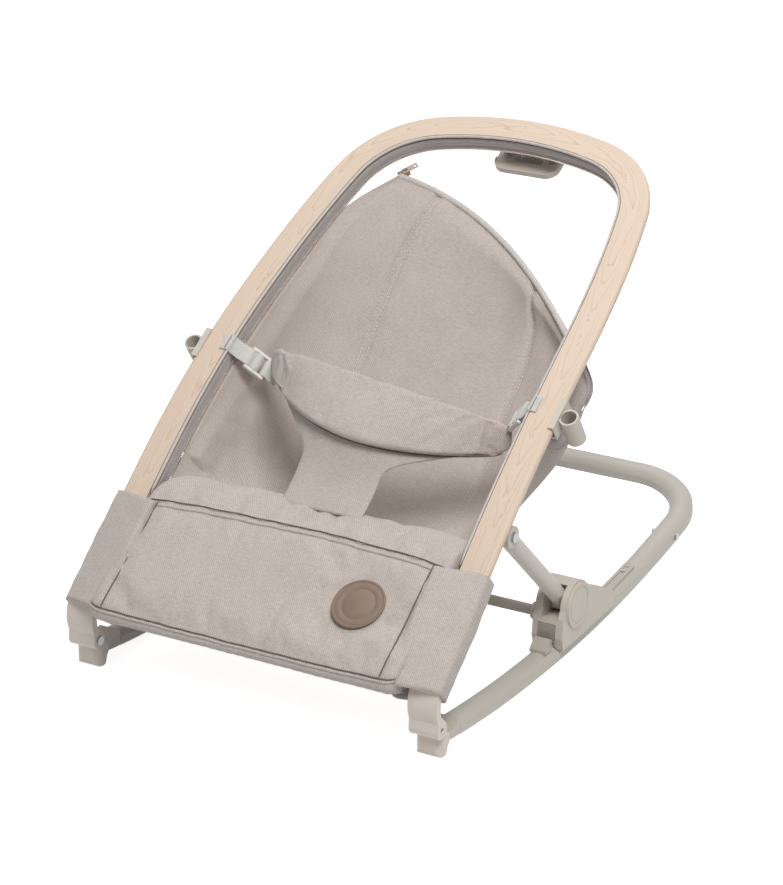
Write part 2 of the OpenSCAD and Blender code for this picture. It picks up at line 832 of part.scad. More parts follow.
// Point of the hammock at u across (-1 to 1) and v from front to top
// A row is deep and round at the seat, and a slack curve through its three points at the top
function hammock(u, v) =
  let (
    l = smooth_at([for (r = shell_rows) r[0]], v),
    c = smooth_at([for (r = shell_rows) r[1]], v),
    r = smooth_at([for (r = shell_rows) r[2]], v),
    rim = u < 0 ? l : r,
    q = pow(abs(u), 2.6),
    deep = [rim[0] * sin(90 * abs(u)), c[1] + (rim[1] - c[1]) * q, c[2] + (rim[2] - c[2]) * q],
    slack = c + (r - l) / 2 * u + ((r + l) / 2 - c) * u * u,
    t = max(0, (v - slack_from) / (1 - slack_from)),
    share = t * t * (3 - 2 * t)
  )
  deep * (1 - share) + slack * share;
shell_grid_rows = 24;
shell_grid_cols = 24;
// The hammock's grid, cut back by margins at its edges and lifted towards the sitter
function hammock_grid(u_max, v0, v1, lift) = [
  for (i = [0:shell_grid_rows])
    [for (j = [0:shell_grid_cols])
      let (
        v = v0 + (v1 - v0) * i / shell_grid_rows,
        u = u_max * (2 * j / shell_grid_cols - 1),
        a = hammock(u, min(1, v + 0.01)) - hammock(u, max(0, v - 0.01)),
        b = hammock(min(1, u + 0.01), v) - hammock(max(-1, u - 0.01), v),
        n = cross(b, a)
      )
      hammock(u, v) + lift * n / norm(n)]
];

module seat_shell() {
  color(greige)
    placed()
      sheet_solid(hammock_grid(1, 0, 0.988, 0), shell_t);
}

module seat_liner() {
  color(greige)
    placed()
      sheet_solid(hammock_grid(0.93, 0.04, 0.975, shell_t / 2 + soft_gap + 0.3 + liner_t / 2), liner_t);
}

// The bolster's section at the middle and at the sides, seen from the side
bolster_mid = [[-27, 73], [28, 112], [83, 151], [110, 160], [140, 157], [156, 140], [138, 110], [60, 76], [-8, 60]];
bolster_side = [[-34, 80], [14, 116], [64, 153], [95, 165], [135, 157], [150, 141], [132, 114], [60, 72], [-16, 62]];
bolster_half_w = half_gauge - elbow_w / 2 - 5.1;

module front_bolster() {
  steps = 16;
  // Bulging faces: the section's points joined by a smooth closed curve
  function closed_at(list, s) =
    let (n = len(list), q = s * n, i = floor(q))
    blend4(list[(i + n - 1) % n], list[i % n], list[(i + 1) % n], list[(i + 2) % n], q - i);
  color(greige)
    placed()
      skin([
        for (i = [-steps:steps])
          let (x = bolster_half_w * i / steps, q = pow(i / steps, 2))
          [for (k = [0:35])
            let (p = closed_at(bolster_mid * (1 - q) + bolster_side * q, k / 36))
            [x, p[0], p[1]]]
      ]);
}

// Fabric sleeve round each leg's front end, over the elbow's fork
sleeve_l = 117;
module leg_sleeve(side) {
  wall = 3;
  below = band_t + fork_t + 2;
  above = fork_t + 0.5;
  inside = max(elbow_w, band_w) / 2 + soft_gap;
  x0 = bolster_half_w + 0.5;
  // The leg's middle at the sleeve's two ends, carried on to y; the elbow's is at half_gauge
  near = leg_half_w(0) + band_w / 2;
  far = leg_half_w(sleeve_l) + band_w / 2;
  function mid(y) = half_gauge + (far - half_gauge) * y / sleeve_l;
  function inner_mid(y) = near + (far - near) * y / sleeve_l;
  y0 = -1;
  y1 = sleeve_l - 1;
  color(greige)
    placed(side)
      on_leg_frame(0)
        difference() {
          translate([0, 0, -below - wall])
            linear_extrude(below + above + 2 * wall)
              polygon([
                [x0, y0], [mid(y0) + inside + wall, y0], [mid(y1) + inside + wall, y1], [x0, y1]
              ]);
          translate([0, 0, -below])
            linear_extrude(below + above)
              polygon([
                [inner_mid(y0 - 1) - inside, y0 - 1], [mid(y0 - 1) + inside, y0 - 1],
                [mid(y1 + 1) + inside, y1 + 1], [inner_mid(y1 + 1) - inside, y1 + 1]
              ]);
        }
}

// The straps' sizes: from the leg's edge to the tab on the belt
strap_up = socket_up + 7;
buckle_l = 24;
buckle_w = web_w + 6;
tail_l = 18;
tab_l = 13;
tail_angle = -50;
strap_x = leg_half_w(strap_up) - lining_t - 2 * soft_gap;
strap_reach = tail_l + buckle_l + 2 * soft_gap + tab_l;

// The belt: upper and lower edges across the seat
belt_t = 8;
belt_half_w = strap_x - web_t - strap_reach * cos(tail_angle) - belt_t / 2;
function belt_point(u, v) =
  let (
    upper = [218 + 45 * u * u, 268 - 4 * u - 14 * u * u],
    lower = [168 + 84 * u * u, 222 - 6 * u - 16 * u * u],
    p = lower + (upper - lower) * v
  )
  [belt_half_w * u, p[0], p[1]];

module waist_belt() {
  rows = 8;
  cols = 24;
  color(greige)
    placed()
      sheet_solid(
        [for (i = [0:rows]) [for (j = [0:cols]) belt_point(2 * j / cols - 1, i / rows)]],
        belt_t
      );
}

// The crotch piece rises from the bolster's top to the belt's lower edge
module crotch_piece() {
  rows = 8;
  cols = 8;
  thick = 5;
  top = belt_point(0, 0);
  function point(u, v) =
    [(46 + 6 * v) * u - 3 * v, 128 + (top[1] - 128 - 3) * v + 5 * v * (1 - v), 161.5 + (top[2] - 161.5 - 6) * v];
  color(greige)
    placed()
      sheet_solid(
        [for (i = [0:rows]) [for (j = [0:cols]) point(2 * j / cols - 1, i / rows)]],
        thick
      );
}

// Webbing: a flap over each leg's inner edge, a tail to the adjuster buckle, and a tab to the belt

module on_tail(side) {
  placed(side)
    on_leg_frame(strap_up)
      translate([strap_x - web_t, 0, -5])
        rotate([0, tail_angle, 0])
          children();
}

module strap(side) {
  flap = 11;
  color(web_grey) {
    placed(side)
      on_leg_frame(strap_up)
        difference() {
          translate([strap_x - web_t, -web_w / 2, -9])
            cube([flap, web_w, 9 + soft_gap + web_t]);
          translate([strap_x, -web_w, -10])
            cube([band_w, 2 * web_w, 10 + soft_gap]);
        }
    on_tail(side) {
      translate([-tail_l, -web_w / 2, 0]) cube([tail_l + 0.6, web_w, web_t]);
      translate([-strap_reach, -web_w / 2, 0])
        cube([tab_l, web_w, web_t]);
    }
  }
}

// A ladder-lock buckle: a frame with two slots and a bar between them
module buckle(side) {
  t = 4;
  color(ivory)
    on_tail(side)
      translate([-tail_l - soft_gap - buckle_l, -buckle_w / 2, -t / 2 + web_t / 2])
        difference() {
          cube([buckle_l, buckle_w, t]);
          for (x = [3, 13.5])
            translate([x, 3, -1]) cube([7.5, buckle_w - 6, t + 2]);
        }
}

// Round patch on the bolster's front, to the right of the middle
patch_x = bolster_half_w - 74.4;
patch_t = 1.4;
module round_patch() {
  q = pow(patch_x / bolster_half_w, 2);
  low = bolster_mid[0] * (1 - q) + bolster_side[0] * q;
  mid = bolster_mid[1] * (1 - q) + bolster_side[1] * q;
  high = bolster_mid[2] * (1 - q) + bolster_side[2] * q;
  slope = atan2(high[1] - low[1], high[0] - low[0]);
  color(tan_leather)
    placed()
      on_slope(mid + 7 * along(slope), slope)
        translate([patch_x, 0, 2.9])
          cylinder(r = patch_d / 2, h = patch_t, $fn = fine);
}

// ---- zip slider and pull, where the cloth's edge meets the lining ----
shell_corner = shell_rows[len(shell_rows) - 1][0];
zip_turn = 41;
zip_pin_r = 0.84;
zip_pin_z = 3.6;

module zip_frame() {
  placed()
    translate(shell_corner)
      rotate([recline, 0, 0])
        rotate([0, 0, -zip_turn])
          translate([0, 7.4, 0])
            children();
}

module zip_pin(r, length) {
  translate([-length / 2, 0, zip_pin_z]) rotate([0, 90, 0]) cylinder(r = r, h = length, $fn = fine);
}

module zip_slider() {
  color(steel)
    zip_frame()
      difference() {
        union() {
          translate([-4, -6.5, -2.2]) cube([8, 13, 1.6]);
          translate([-4, -6.5, 0.6]) cube([8, 13, 1.6]);
          translate([-1.2, -4, -1.4]) cube([2.4, 8, 6.4]);
        }
        zip_pin(zip_pin_r + run_gap, 4);
      }
}

module zip_pull() {
  color(steel)
    zip_frame() {
      zip_pin(zip_pin_r, 3.8);
      difference() {
        translate([-3.2, -1, zip_pin_z - 0.8]) cube([6.4, 18, 1.6]);
        translate([-1.9, -2, 1]) cube([3.8, 7, 5]);
        translate([0, 14, 1]) cylinder(r = 1.8, h = 5, $fn = fine);
      }
    }
}

// ---- props ----
tube_start = 14;
module in_prop_frame() {
  // X along the tube from the carriage hinge to the head hinge
  on_slope(hinge, prop_angle)
    translate([prop_x, 0, 0])
      children();
}

module prop_tube(side) {
  color(pale_tube)
    placed(side)
      in_prop_frame()
        translate([0, tube_start, 0])
          rotate([-90, 0, 0])
            difference() {
              cylinder(r = prop_d / 2, h = prop_l - 2 * tube_start, $fn = fine);
              translate([0, 0, -1])
                cylinder(r = prop_d / 2 - prop_wall, h = prop_l, $fn = fine);
            }
}

// End fitting of a prop: an eye round the hinge and a spigot inside the tube
module prop_end(eye_r, flip) {
  eye_w = prop_d - 0.6;
  rotate([flip ? 180 : 0, 0, 0])
    difference() {
      union() {
        translate([-eye_w / 2, 0, 0]) rotate([0, 90, 0]) cylinder(r = eye_r, h = eye_w, $fn = fine);
        rotate([-90, 0, 0]) cylinder(r = prop_d / 2 - prop_wall - 0.1, h = tube_start + 12, $fn = fine);
        intersection() {
          rotate([-90, 0, 0]) cylinder(r = prop_d / 2, h = tube_start - 0.1, $fn = fine);
          translate([-eye_w / 2, 0, -prop_d]) cube([eye_w, tube_start - 0.1, 2 * prop_d]);
        }
      }
      translate([-prop_d, 0, 0]) rotate([0, 90, 0]) cylinder(r = bolt_r + run_gap, h = 2 * prop_d, $fn = fine);
    }
}

module prop_foot(side) {
  color(pale_moulding)
    placed(side)
      in_prop_frame()
        prop_end(prop_d / 2, false);
}

module prop_head(side) {
  color(pale_moulding)
    placed(side)
      in_prop_frame()
        translate([0, prop_l, 0])
          prop_end(prop_head_r, true);
}

// ---- sliding carriage ----
// Side view of the slide housing, round its hinge
module housing_outline() {
  translate(hinge)
    polygon([
      [-32.5, -26.5], [-30.5, -6], [-21, 8], [0, 12], [19, 12.5],
      [43, 4.5], [72, -10.5], [82, -17], [84, -24], [84, -46], [-27, -46]
    ]);
}

// What the prop sweeps inside the housing, from standing to folded
module bay_outline() {
  r = prop_d / 2 + 1;
  stand = prop_angle;
  folded = 176;
  translate(hinge) {
    circle(r = r + 0.4, $fn = fine);
    polygon([
      r * along(stand - 90), r * along(stand - 90) + 80 * along(stand),
      80 * along(folded), r * along(folded + 90) + 80 * along(folded), r * along(folded + 90)
    ]);
  }
}

module below_housing() {
  // Everything lower than the dome's shoulder, and the rail and strip with running clearance
  rocker(hinge_y - 60, hinge_y + 120)
    translate([-40, -40]) square([80, 40 + rail_side_h + 4.5]);
  rocker(hinge_y - 60, hinge_y + 120) rail_section(slide_gap);
  rocker(hinge_y - 60, hinge_y + 120) strip_section(slide_gap);
}

button_back = button_at[0] + button_t / 2;
module button_space(gap) {
  translate([half_gauge - button_w / 2 - gap, button_at[0] - 12, button_at[1] - button_h / 2 - gap])
    cube([button_w + 2 * gap, button_back - button_at[0] + 12 + (gap > 0 ? button_travel + 0.3 : 0),
      button_h + 2 * gap]);
}

module slide_housing(side) {
  spring_r = 4.4;
  spring_room = 3.4;
  color(pale_moulding)
    placed(side)
      difference() {
        union() {
          cross_rod(hinge, housing_in, housing_out, housing_r);
          across(housing_in, housing_out) housing_outline();
        }
        across(bay_in, bay_out) bay_outline();
        below_housing();
        cross_rod(hinge, housing_in + 1.5, housing_out - 1.5, bolt_r + run_gap);
        cross_rod(crossbar_at, housing_in - 1, housing_in + 6, crossbar_d / 2 + run_gap);
        button_space(0.4);
        // Guide for the button's stem and a seat for its spring
        translate([half_gauge, button_back, button_at[1]])
          rotate([-90, 0, 0]) {
            cylinder(r = stem_r + run_gap, h = stem_l + button_travel + 1, $fn = fine);
            cylinder(r = spring_r, h = button_travel + 0.3 + spring_room, $fn = fine);
          }
      }
}

module release_button(side) {
  color(pale_moulding)
    placed(side) {
      intersection() {
        button_space(0);
        translate([0, button_at[0] - button_t / 2, 0]) cube([400, button_t, 200]);
      }
      translate([half_gauge, button_back - 0.01, button_at[1]])
        rotate([-90, 0, 0])
          cylinder(r = stem_r, h = stem_l, $fn = fine);
    }
}

// Return springs round the stems, drawn at their pressed length
module button_springs() {
  wire = 0.7;
  turns = 3;
  color(steel)
    for (side = [-1, 1])
      placed(side)
        translate([half_gauge, button_back + button_travel + 0.4, button_at[1]])
          rotate([-90, 0, 0])
            difference() {
              cylinder(r = stem_r + 0.5 + wire, h = turns, $fn = fine);
              translate([0, 0, -1]) cylinder(r = stem_r + 0.5, h = turns + 2, $fn = fine);
            }
}

module hinge_pins() {
  color(steel)
    for (side = [-1, 1])
      placed(side)
        cross_rod(hinge, housing_in + 1.6, housing_out - 1.6, bolt_r);
}

// Round cover over each hinge, with one raised ring
module hinge_cover(side) {
  color(pale_moulding)
    placed(side)
      difference() {
        cross_rod(hinge, housing_out + 0.02, housing_out + 2.2, housing_r - 2);
        difference() {
          cross_rod(hinge, housing_out + 1.6, housing_out + 3, housing_r - 6);
          cross_rod(hinge, housing_out + 1.5, housing_out + 4, housing_r - 8);
        }
      }
}

module crossbar() {
  color(pale_moulding)
    placed()
      cross_rod(crossbar_at, -housing_in - 5.8, housing_in + 5.8, crossbar_d / 2);
}

module crossbar_collars() {
  color(pale_moulding)
    for (side = [-1, 1])
      placed(side)
        difference() {
          cross_rod(crossbar_at, housing_in - 9, housing_in - 0.02, crossbar_d / 2 + 3.5);
          cross_rod(crossbar_at, housing_in - 10, housing_in + 1, crossbar_d / 2 + run_gap);
        }
}

// ---- left and right pieces ----
module rail_tube_left() { rail_tube(-1); }
module rail_tube_right() { rail_tube(1); }
module front_plug_left() { front_plug(-1); }
module front_plug_right() { front_plug(1); }
module foot_left() { foot(-1); }
module foot_right() { foot(1); }
module track_strip_left() { track_strip(-1); }
module track_strip_right() { track_strip(1); }
module elbow_left() { elbow(-1); }
module elbow_right() { elbow(1); }
module prop_bracket_left() { prop_bracket(-1); }
module prop_bracket_right() { prop_bracket(1); }
module toy_bar_socket_left() { toy_bar_socket(-1); }
module toy_bar_socket_right() { toy_bar_socket(1); }
module leg_sleeve_left() { leg_sleeve(-1); }
module leg_sleeve_right() { leg_sleeve(1); }
module strap_left() { strap(-1); }
module strap_right() { strap(1); }
module buckle_left() { buckle(-1); }
module buckle_right() { buckle(1); }
module prop_tube_left() { prop_tube(-1); }
module prop_tube_right() { prop_tube(1); }
module prop_head_left() { prop_head(-1); }
module prop_head_right() { prop_head(1); }
module prop_foot_left() { prop_foot(-1); }
module prop_foot_right() { prop_foot(1); }
module slide_housing_left() { slide_housing(-1); }
module slide_housing_right() { slide_housing(1); }
module hinge_cover_left() { hinge_cover(-1); }
module hinge_cover_right() { hinge_cover(1); }
module release_button_left() { release_button(-1); }
module release_button_right() { release_button(1); }

rail_tube_left();
rail_tube_right();
rear_u_tube();
splice_bolts();
front_plug_left();
front_plug_right();
foot_left();
foot_right();
pivot_pins();
track_strip_left();
track_strip_right();
strip_screws();
wooden_hoop();
elbow_left();
elbow_right();
elbow_screws();
prop_bracket_left();
prop_bracket_right();
prop_screws();
toy_bar_socket_left();
toy_bar_socket_right();
carry_handle();
handle_screws();
handle_clip();
hoop_lining();
seat_shell();
seat_liner();
front_bolster();
leg_sleeve_left();
leg_sleeve_right();
waist_belt();
crotch_piece();
strap_left();
strap_right();
buckle_left();
buckle_right();
round_patch();
zip_slider();
zip_pull();
prop_tube_left();
prop_tube_right();
prop_head_left();
prop_head_right();
prop_foot_left();
prop_foot_right();
slide_housing_left();
slide_housing_right();
hinge_cover_left();
hinge_cover_right();
hinge_pins();
crossbar();
crossbar_collars();
button_springs();
release_button_left();
release_button_right();
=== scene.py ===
"""Dressed scene of a folding bouncer seat with a bent wooden hoop and a fabric seat."""

from __future__ import annotations

import json
import logging
import math
from dataclasses import dataclass, field
from enum import Enum
from typing import Any, Callable, Iterable, Sequence

import bmesh
import bpy
import numpy as np
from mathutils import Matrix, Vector, noise

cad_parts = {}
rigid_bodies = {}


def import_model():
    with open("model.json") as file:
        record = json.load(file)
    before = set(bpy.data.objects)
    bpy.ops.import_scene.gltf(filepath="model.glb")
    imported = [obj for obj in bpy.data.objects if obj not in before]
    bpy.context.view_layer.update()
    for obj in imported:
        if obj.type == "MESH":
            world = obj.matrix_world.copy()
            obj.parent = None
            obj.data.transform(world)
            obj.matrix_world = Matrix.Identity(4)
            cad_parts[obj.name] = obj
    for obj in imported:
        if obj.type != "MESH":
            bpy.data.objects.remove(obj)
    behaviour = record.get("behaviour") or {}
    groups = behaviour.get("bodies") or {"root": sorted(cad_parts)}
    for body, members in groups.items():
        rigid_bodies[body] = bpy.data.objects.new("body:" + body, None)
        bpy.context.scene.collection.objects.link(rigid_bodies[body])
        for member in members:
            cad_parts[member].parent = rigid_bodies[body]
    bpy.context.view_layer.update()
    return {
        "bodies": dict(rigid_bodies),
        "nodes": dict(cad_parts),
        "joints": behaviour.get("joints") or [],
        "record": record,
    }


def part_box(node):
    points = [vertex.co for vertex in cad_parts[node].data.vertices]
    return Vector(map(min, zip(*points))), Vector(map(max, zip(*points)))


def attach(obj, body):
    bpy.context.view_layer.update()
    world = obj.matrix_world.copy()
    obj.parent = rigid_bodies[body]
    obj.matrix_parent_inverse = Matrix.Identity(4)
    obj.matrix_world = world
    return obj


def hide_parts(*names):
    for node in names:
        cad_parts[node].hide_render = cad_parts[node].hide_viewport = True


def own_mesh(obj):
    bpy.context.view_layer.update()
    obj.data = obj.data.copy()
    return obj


LOG = logging.getLogger("bouncer")
MM = 0.001
TINY = 1e-9
Point = np.ndarray


# ---------------------------------------------------------------- shader maths


class Socket:
    """A shader value that can be used in Python expressions."""

    def __init__(self, shade: "Shade", link: Any) -> None:
        """Keeps the node tree and the output socket.

        Args:
            shade: The material's node maker.
            link: The output socket that carries the value.
        """
        self.shade = shade
        self.link = link

    def _maths(self, operation: str, first: Any, second: Any) -> "Socket":
        """Adds one Math node and returns its result."""
        return self.shade.node("ShaderNodeMath", {"operation": operation}, {0: first, 1: second})

    def __add__(self, other: Any) -> "Socket":
        """Sum."""
        return self._maths("ADD", self, other)

    def __radd__(self, other: Any) -> "Socket":
        """Sum with the value on the right."""
        return self._maths("ADD", other, self)

    def __sub__(self, other: Any) -> "Socket":
        """Difference."""
        return self._maths("SUBTRACT", self, other)

    def __rsub__(self, other: Any) -> "Socket":
        """Difference with the value on the right."""
        return self._maths("SUBTRACT", other, self)

    def __mul__(self, other: Any) -> "Socket":
        """Product."""
        return self._maths("MULTIPLY", self, other)

    def __rmul__(self, other: Any) -> "Socket":
        """Product with the value on the right."""
        return self._maths("MULTIPLY", other, self)

    def __truediv__(self, other: Any) -> "Socket":
        """Quotient."""
        return self._maths("DIVIDE", self, other)

    def __pow__(self, other: Any) -> "Socket":
        """Power."""
        return self._maths("POWER", self, other)

    def __lt__(self, other: Any) -> "Socket":
        """1 where this is less than the other, else 0."""
        return self._maths("LESS_THAN", self, other)

    def __gt__(self, other: Any) -> "Socket":
        """1 where this is more than the other, else 0."""
        return self._maths("GREATER_THAN", self, other)

    def __abs__(self) -> "Socket":
        """Absolute value."""
        return self._maths("ABSOLUTE", self, 0.0)

    def sine(self) -> "Socket":
        """Sine."""
        return self._maths("SINE", self, 0.0)

    def root(self) -> "Socket":
        """Square root."""
        return self._maths("SQRT", self, 0.0)

    def angle_from(self, other: Any) -> "Socket":
        """Two-argument arc tangent of this over the other."""
        return self._maths("ARCTAN2", self, other)

    def fraction(self) -> "Socket":
        """The part after the decimal point."""
        return self._maths("FRACT", self, 0.0)


class Shade:
    """Makes one material's nodes."""

    def __init__(self, name: str) -> None:
        """Starts an empty material with one Principled shader.

        Args:
            name: The material's name.
        """
        self.material = bpy.data.materials.new(name)
        self.material.use_nodes = True
        self.tree = self.material.node_tree
        self.tree.nodes.clear()
        self.output = self.tree.nodes.new("ShaderNodeOutputMaterial")
        self.shader = self.tree.nodes.new("ShaderNodeBsdfPrincipled")
        self.tree.links.new(self.shader.outputs[0], self.output.inputs["Surface"])

    def node(
        self,
        kind: str,
        settings: dict[str, Any] | None = None,
        inputs: dict[Any, Any] | None = None,
        out: Any = 0,
    ) -> Socket:
        """Adds a node of any type.

        Args:
            kind: The node's type.
            settings: Attributes that are set first; "stops" fills a colour ramp.
            inputs: Values or sockets by input name or number.
            out: Which output to return.

        Returns:
            The chosen output as a socket.
        """
        made = self.tree.nodes.new(kind)
        for key, value in (settings or {}).items():
            if key == "stops":
                ramp = made.color_ramp
                while len(ramp.elements) < len(value):
                    ramp.elements.new(0.5)
                for element, (place, colour) in zip(ramp.elements, value):
                    element.position = place
                    element.color = (*colour, 1.0)
            else:
                setattr(made, key, value)
        for key, value in (inputs or {}).items():
            target = made.inputs[key]
            if isinstance(value, Socket):
                self.tree.links.new(value.link, target)
            elif isinstance(value, (tuple, list)) and len(value) == 3 and target.type == "RGBA":
                target.default_value = (*value, 1.0)
            else:
                target.default_value = value
        return Socket(self, made.outputs[out])

    def place(self, axis: int) -> Socket:
        """One coordinate of the point in the object's own frame, in metres.

        Args:
            axis: 0, 1 or 2.

        Returns:
            The coordinate.
        """
        return self.node("ShaderNodeSeparateXYZ", inputs={0: self.at()}, out=axis)

    def at(self) -> Socket:
        """The point in the object's own frame."""
        return self.node("ShaderNodeTexCoord", out="Object")

    def vector(self, x: Any, y: Any, z: Any) -> Socket:
        """A vector from three values."""
        return self.node("ShaderNodeCombineXYZ", inputs={0: x, 1: y, 2: z})

    def grain(self, where: Socket, scale: float, detail: float = 2.0, rough: float = 0.5) -> Socket:
        """Soft noise from 0 to 1.

        Args:
            where: The point.
            scale: Cells in a metre.
            detail: Finer layers.
            rough: Their strength.

        Returns:
            The noise value.
        """
        return self.node(
            "ShaderNodeTexNoise",
            {"noise_dimensions": "3D"},
            {"Vector": where, "Scale": scale, "Detail": detail, "Roughness": rough},
        )

    def blend(self, amount: Any, first: Any, second: Any) -> Socket:
        """Mixes two colours.

        Args:
            amount: 0 gives the first, 1 the second.
            first: A colour or socket.
            second: A colour or socket.

        Returns:
            The mixed colour.
        """
        return self.node(
            "ShaderNodeMix",
            {"data_type": "RGBA"},
            {0: amount, 6: first, 7: second},
            out=2,
        )

    def band(self, value: Socket, stops: Sequence[tuple[float, tuple[float, float, float]]]) -> Socket:
        """A colour ramp over a value."""
        return self.node("ShaderNodeValToRGB", {"stops": stops}, {0: value})

    def bump(self, height: Socket, distance: float, strength: float) -> Socket:
        """A bump normal.

        Args:
            height: The height value.
            distance: Height of 1 in metres.
            strength: How strongly it shows.

        Returns:
            The normal.
        """
        return self.node(
            "ShaderNodeBump", inputs={"Height": height, "Distance": distance, "Strength": strength}
        )

    def set(self, **values: Any) -> None:
        """Sets or links the shader's sockets; underscores stand for spaces.

        Args:
            **values: Numbers, colours or sockets by name.
        """
        for key, value in values.items():
            target = self.shader.inputs[key.replace("_", " ")]
            if isinstance(value, Socket):
                self.tree.links.new(value.link, target)
            elif target.type == "RGBA":
                target.default_value = (*value, 1.0)
            else:
                target.default_value = value


# ---------------------------------------------------------------- finishes

Colour = tuple[float, float, float]


def linear(red: float, green: float, blue: float) -> Colour:
    """Turns display values from 0 to 255 into linear colour.

    Args:
        red: Red.
        green: Green.
        blue: Blue.

    Returns:
        The linear colour.
    """

    def one(value: float) -> float:
        """One channel."""
        c = value / 255.0
        return c / 12.92 if c <= 0.04045 else ((c + 0.055) / 1.055) ** 2.4

    return one(red), one(green), one(blue)


def darker(colour: Colour, share: float) -> Colour:
    """The colour scaled by a share."""
    return colour[0] * share, colour[1] * share, colour[2] * share


@dataclass(frozen=True)
class PowderCoat:
    """Satin powder coat on tube: faint orange peel and cloudy tone."""

    name: str
    colour: Colour
    roughness: float = 0.42

    def make(self) -> bpy.types.Material:
        """Builds the material.

        Returns:
            The material.
        """
        s = Shade(self.name)
        where = s.at()
        peel = s.grain(where, 900, 2, 0.5)
        cloud = s.grain(where, 14, 3, 0.5)
        s.set(
            Base_Color=s.blend(cloud, darker(self.colour, 0.95), darker(self.colour, 1.04)),
            Roughness=self.roughness + (cloud - 0.5) * 0.12,
            Normal=s.bump(peel, 0.00004, 0.5),
        )
        return s.material


@dataclass(frozen=True)
class Moulding:
    """Moulded plastic with a fine spark-eroded grain."""

    name: str
    colour: Colour
    roughness: float = 0.5
    grain_height: float = 0.00006

    def make(self) -> bpy.types.Material:
        """Builds the material.

        Returns:
            The material.
        """
        s = Shade(self.name)
        where = s.at()
        grain = s.grain(where, 1500, 3, 0.6)
        flow = s.grain(where, 30, 2, 0.5)
        s.set(
            Base_Color=s.blend(flow, darker(self.colour, 0.96), darker(self.colour, 1.03)),
            Roughness=self.roughness + (grain - 0.5) * 0.2,
            Normal=s.bump(grain, self.grain_height, 0.6),
        )
        return s.material


@dataclass(frozen=True)
class Zinc:
    """Plated steel with turning marks and slight tarnish."""

    name: str
    colour: Colour
    roughness: float = 0.3

    def make(self) -> bpy.types.Material:
        """Builds the material.

        Returns:
            The material.
        """
        s = Shade(self.name)
        where = s.at()
        scratch = s.grain(s.vector(s.place(0) * 4.0, s.place(1), s.place(2)), 1800, 2, 0.6)
        tarnish = s.grain(where, 120, 3, 0.5)
        s.set(
            Base_Color=s.blend(tarnish, darker(self.colour, 0.85), self.colour),
            Roughness=self.roughness + (scratch - 0.5) * 0.25,
            Metallic=1.0,
            Normal=s.bump(scratch, 0.00003, 0.4),
        )
        return s.material


class Weave(Enum):
    """How a cloth is woven."""

    TWILL = "twill"
    TAPE = "tape"
    HERRINGBONE = "herringbone"


@dataclass(frozen=True)
class Cloth:
    """Woven cloth with a slub and a slight fuzz of its own colour."""

    name: str
    colour: Colour
    weave: Weave = Weave.TWILL
    pitch: float = 0.0023

    def lines(self, s: Shade) -> Socket:
        """The weave's height from 0 to 1.

        Args:
            s: The material's node maker.

        Returns:
            The height.
        """
        turn = 2 * math.pi / self.pitch
        x, y, z = s.place(0), s.place(1), s.place(2)
        slope = y * 0.75 + z * 0.66
        if self.weave is Weave.TWILL:
            wobble = s.grain(s.at(), 170, 2, 0.5) * 0.0022
            diagonal = ((x + slope * 0.8 + wobble) * turn).sine()
            cross = ((x * 0.7 - slope * 1.2 + wobble) * (turn * 1.25)).sine()
            return diagonal * 0.34 + cross * 0.2 + 0.5
        if self.weave is Weave.TAPE:
            return ((z + y * 0.6) * turn).sine() * 0.3 + ((x + y * 0.5) * turn).sine() * 0.2 + 0.5
        rib = abs((x * 260.0).fraction() - 0.5) * 0.0052
        return ((slope + rib) * turn).sine() * 0.4 + 0.5

    def make(self) -> bpy.types.Material:
        """Builds the material.

        Returns:
            The material.
        """
        s = Shade(self.name)
        where = s.at()
        weave = self.lines(s)
        slub = s.grain(s.vector(s.place(0) * 0.35, s.place(1), s.place(2)), 620, 3, 0.75)
        patchy = s.grain(where, 34, 3, 0.5)
        fibre = s.grain(where, 1500, 2, 0.7)
        tone = weave * 0.3 + slub * 0.55 + patchy * 0.12 + fibre * 0.26 - 0.1
        colour = s.band(
            tone,
            [
                (0.3, darker(self.colour, 0.7)),
                (0.5, self.colour),
                (0.72, darker(self.colour, 1.22)),
            ],
        )
        s.set(
            Base_Color=colour,
            Roughness=0.9 - fibre * 0.12,
            Sheen_Weight=0.18,
            Sheen_Roughness=0.55,
            Specular_IOR_Level=0.18,
            Normal=s.bump(weave * 0.6 + slub * 0.3 + fibre * 0.25, 0.00022, 0.75),
        )
        return s.material


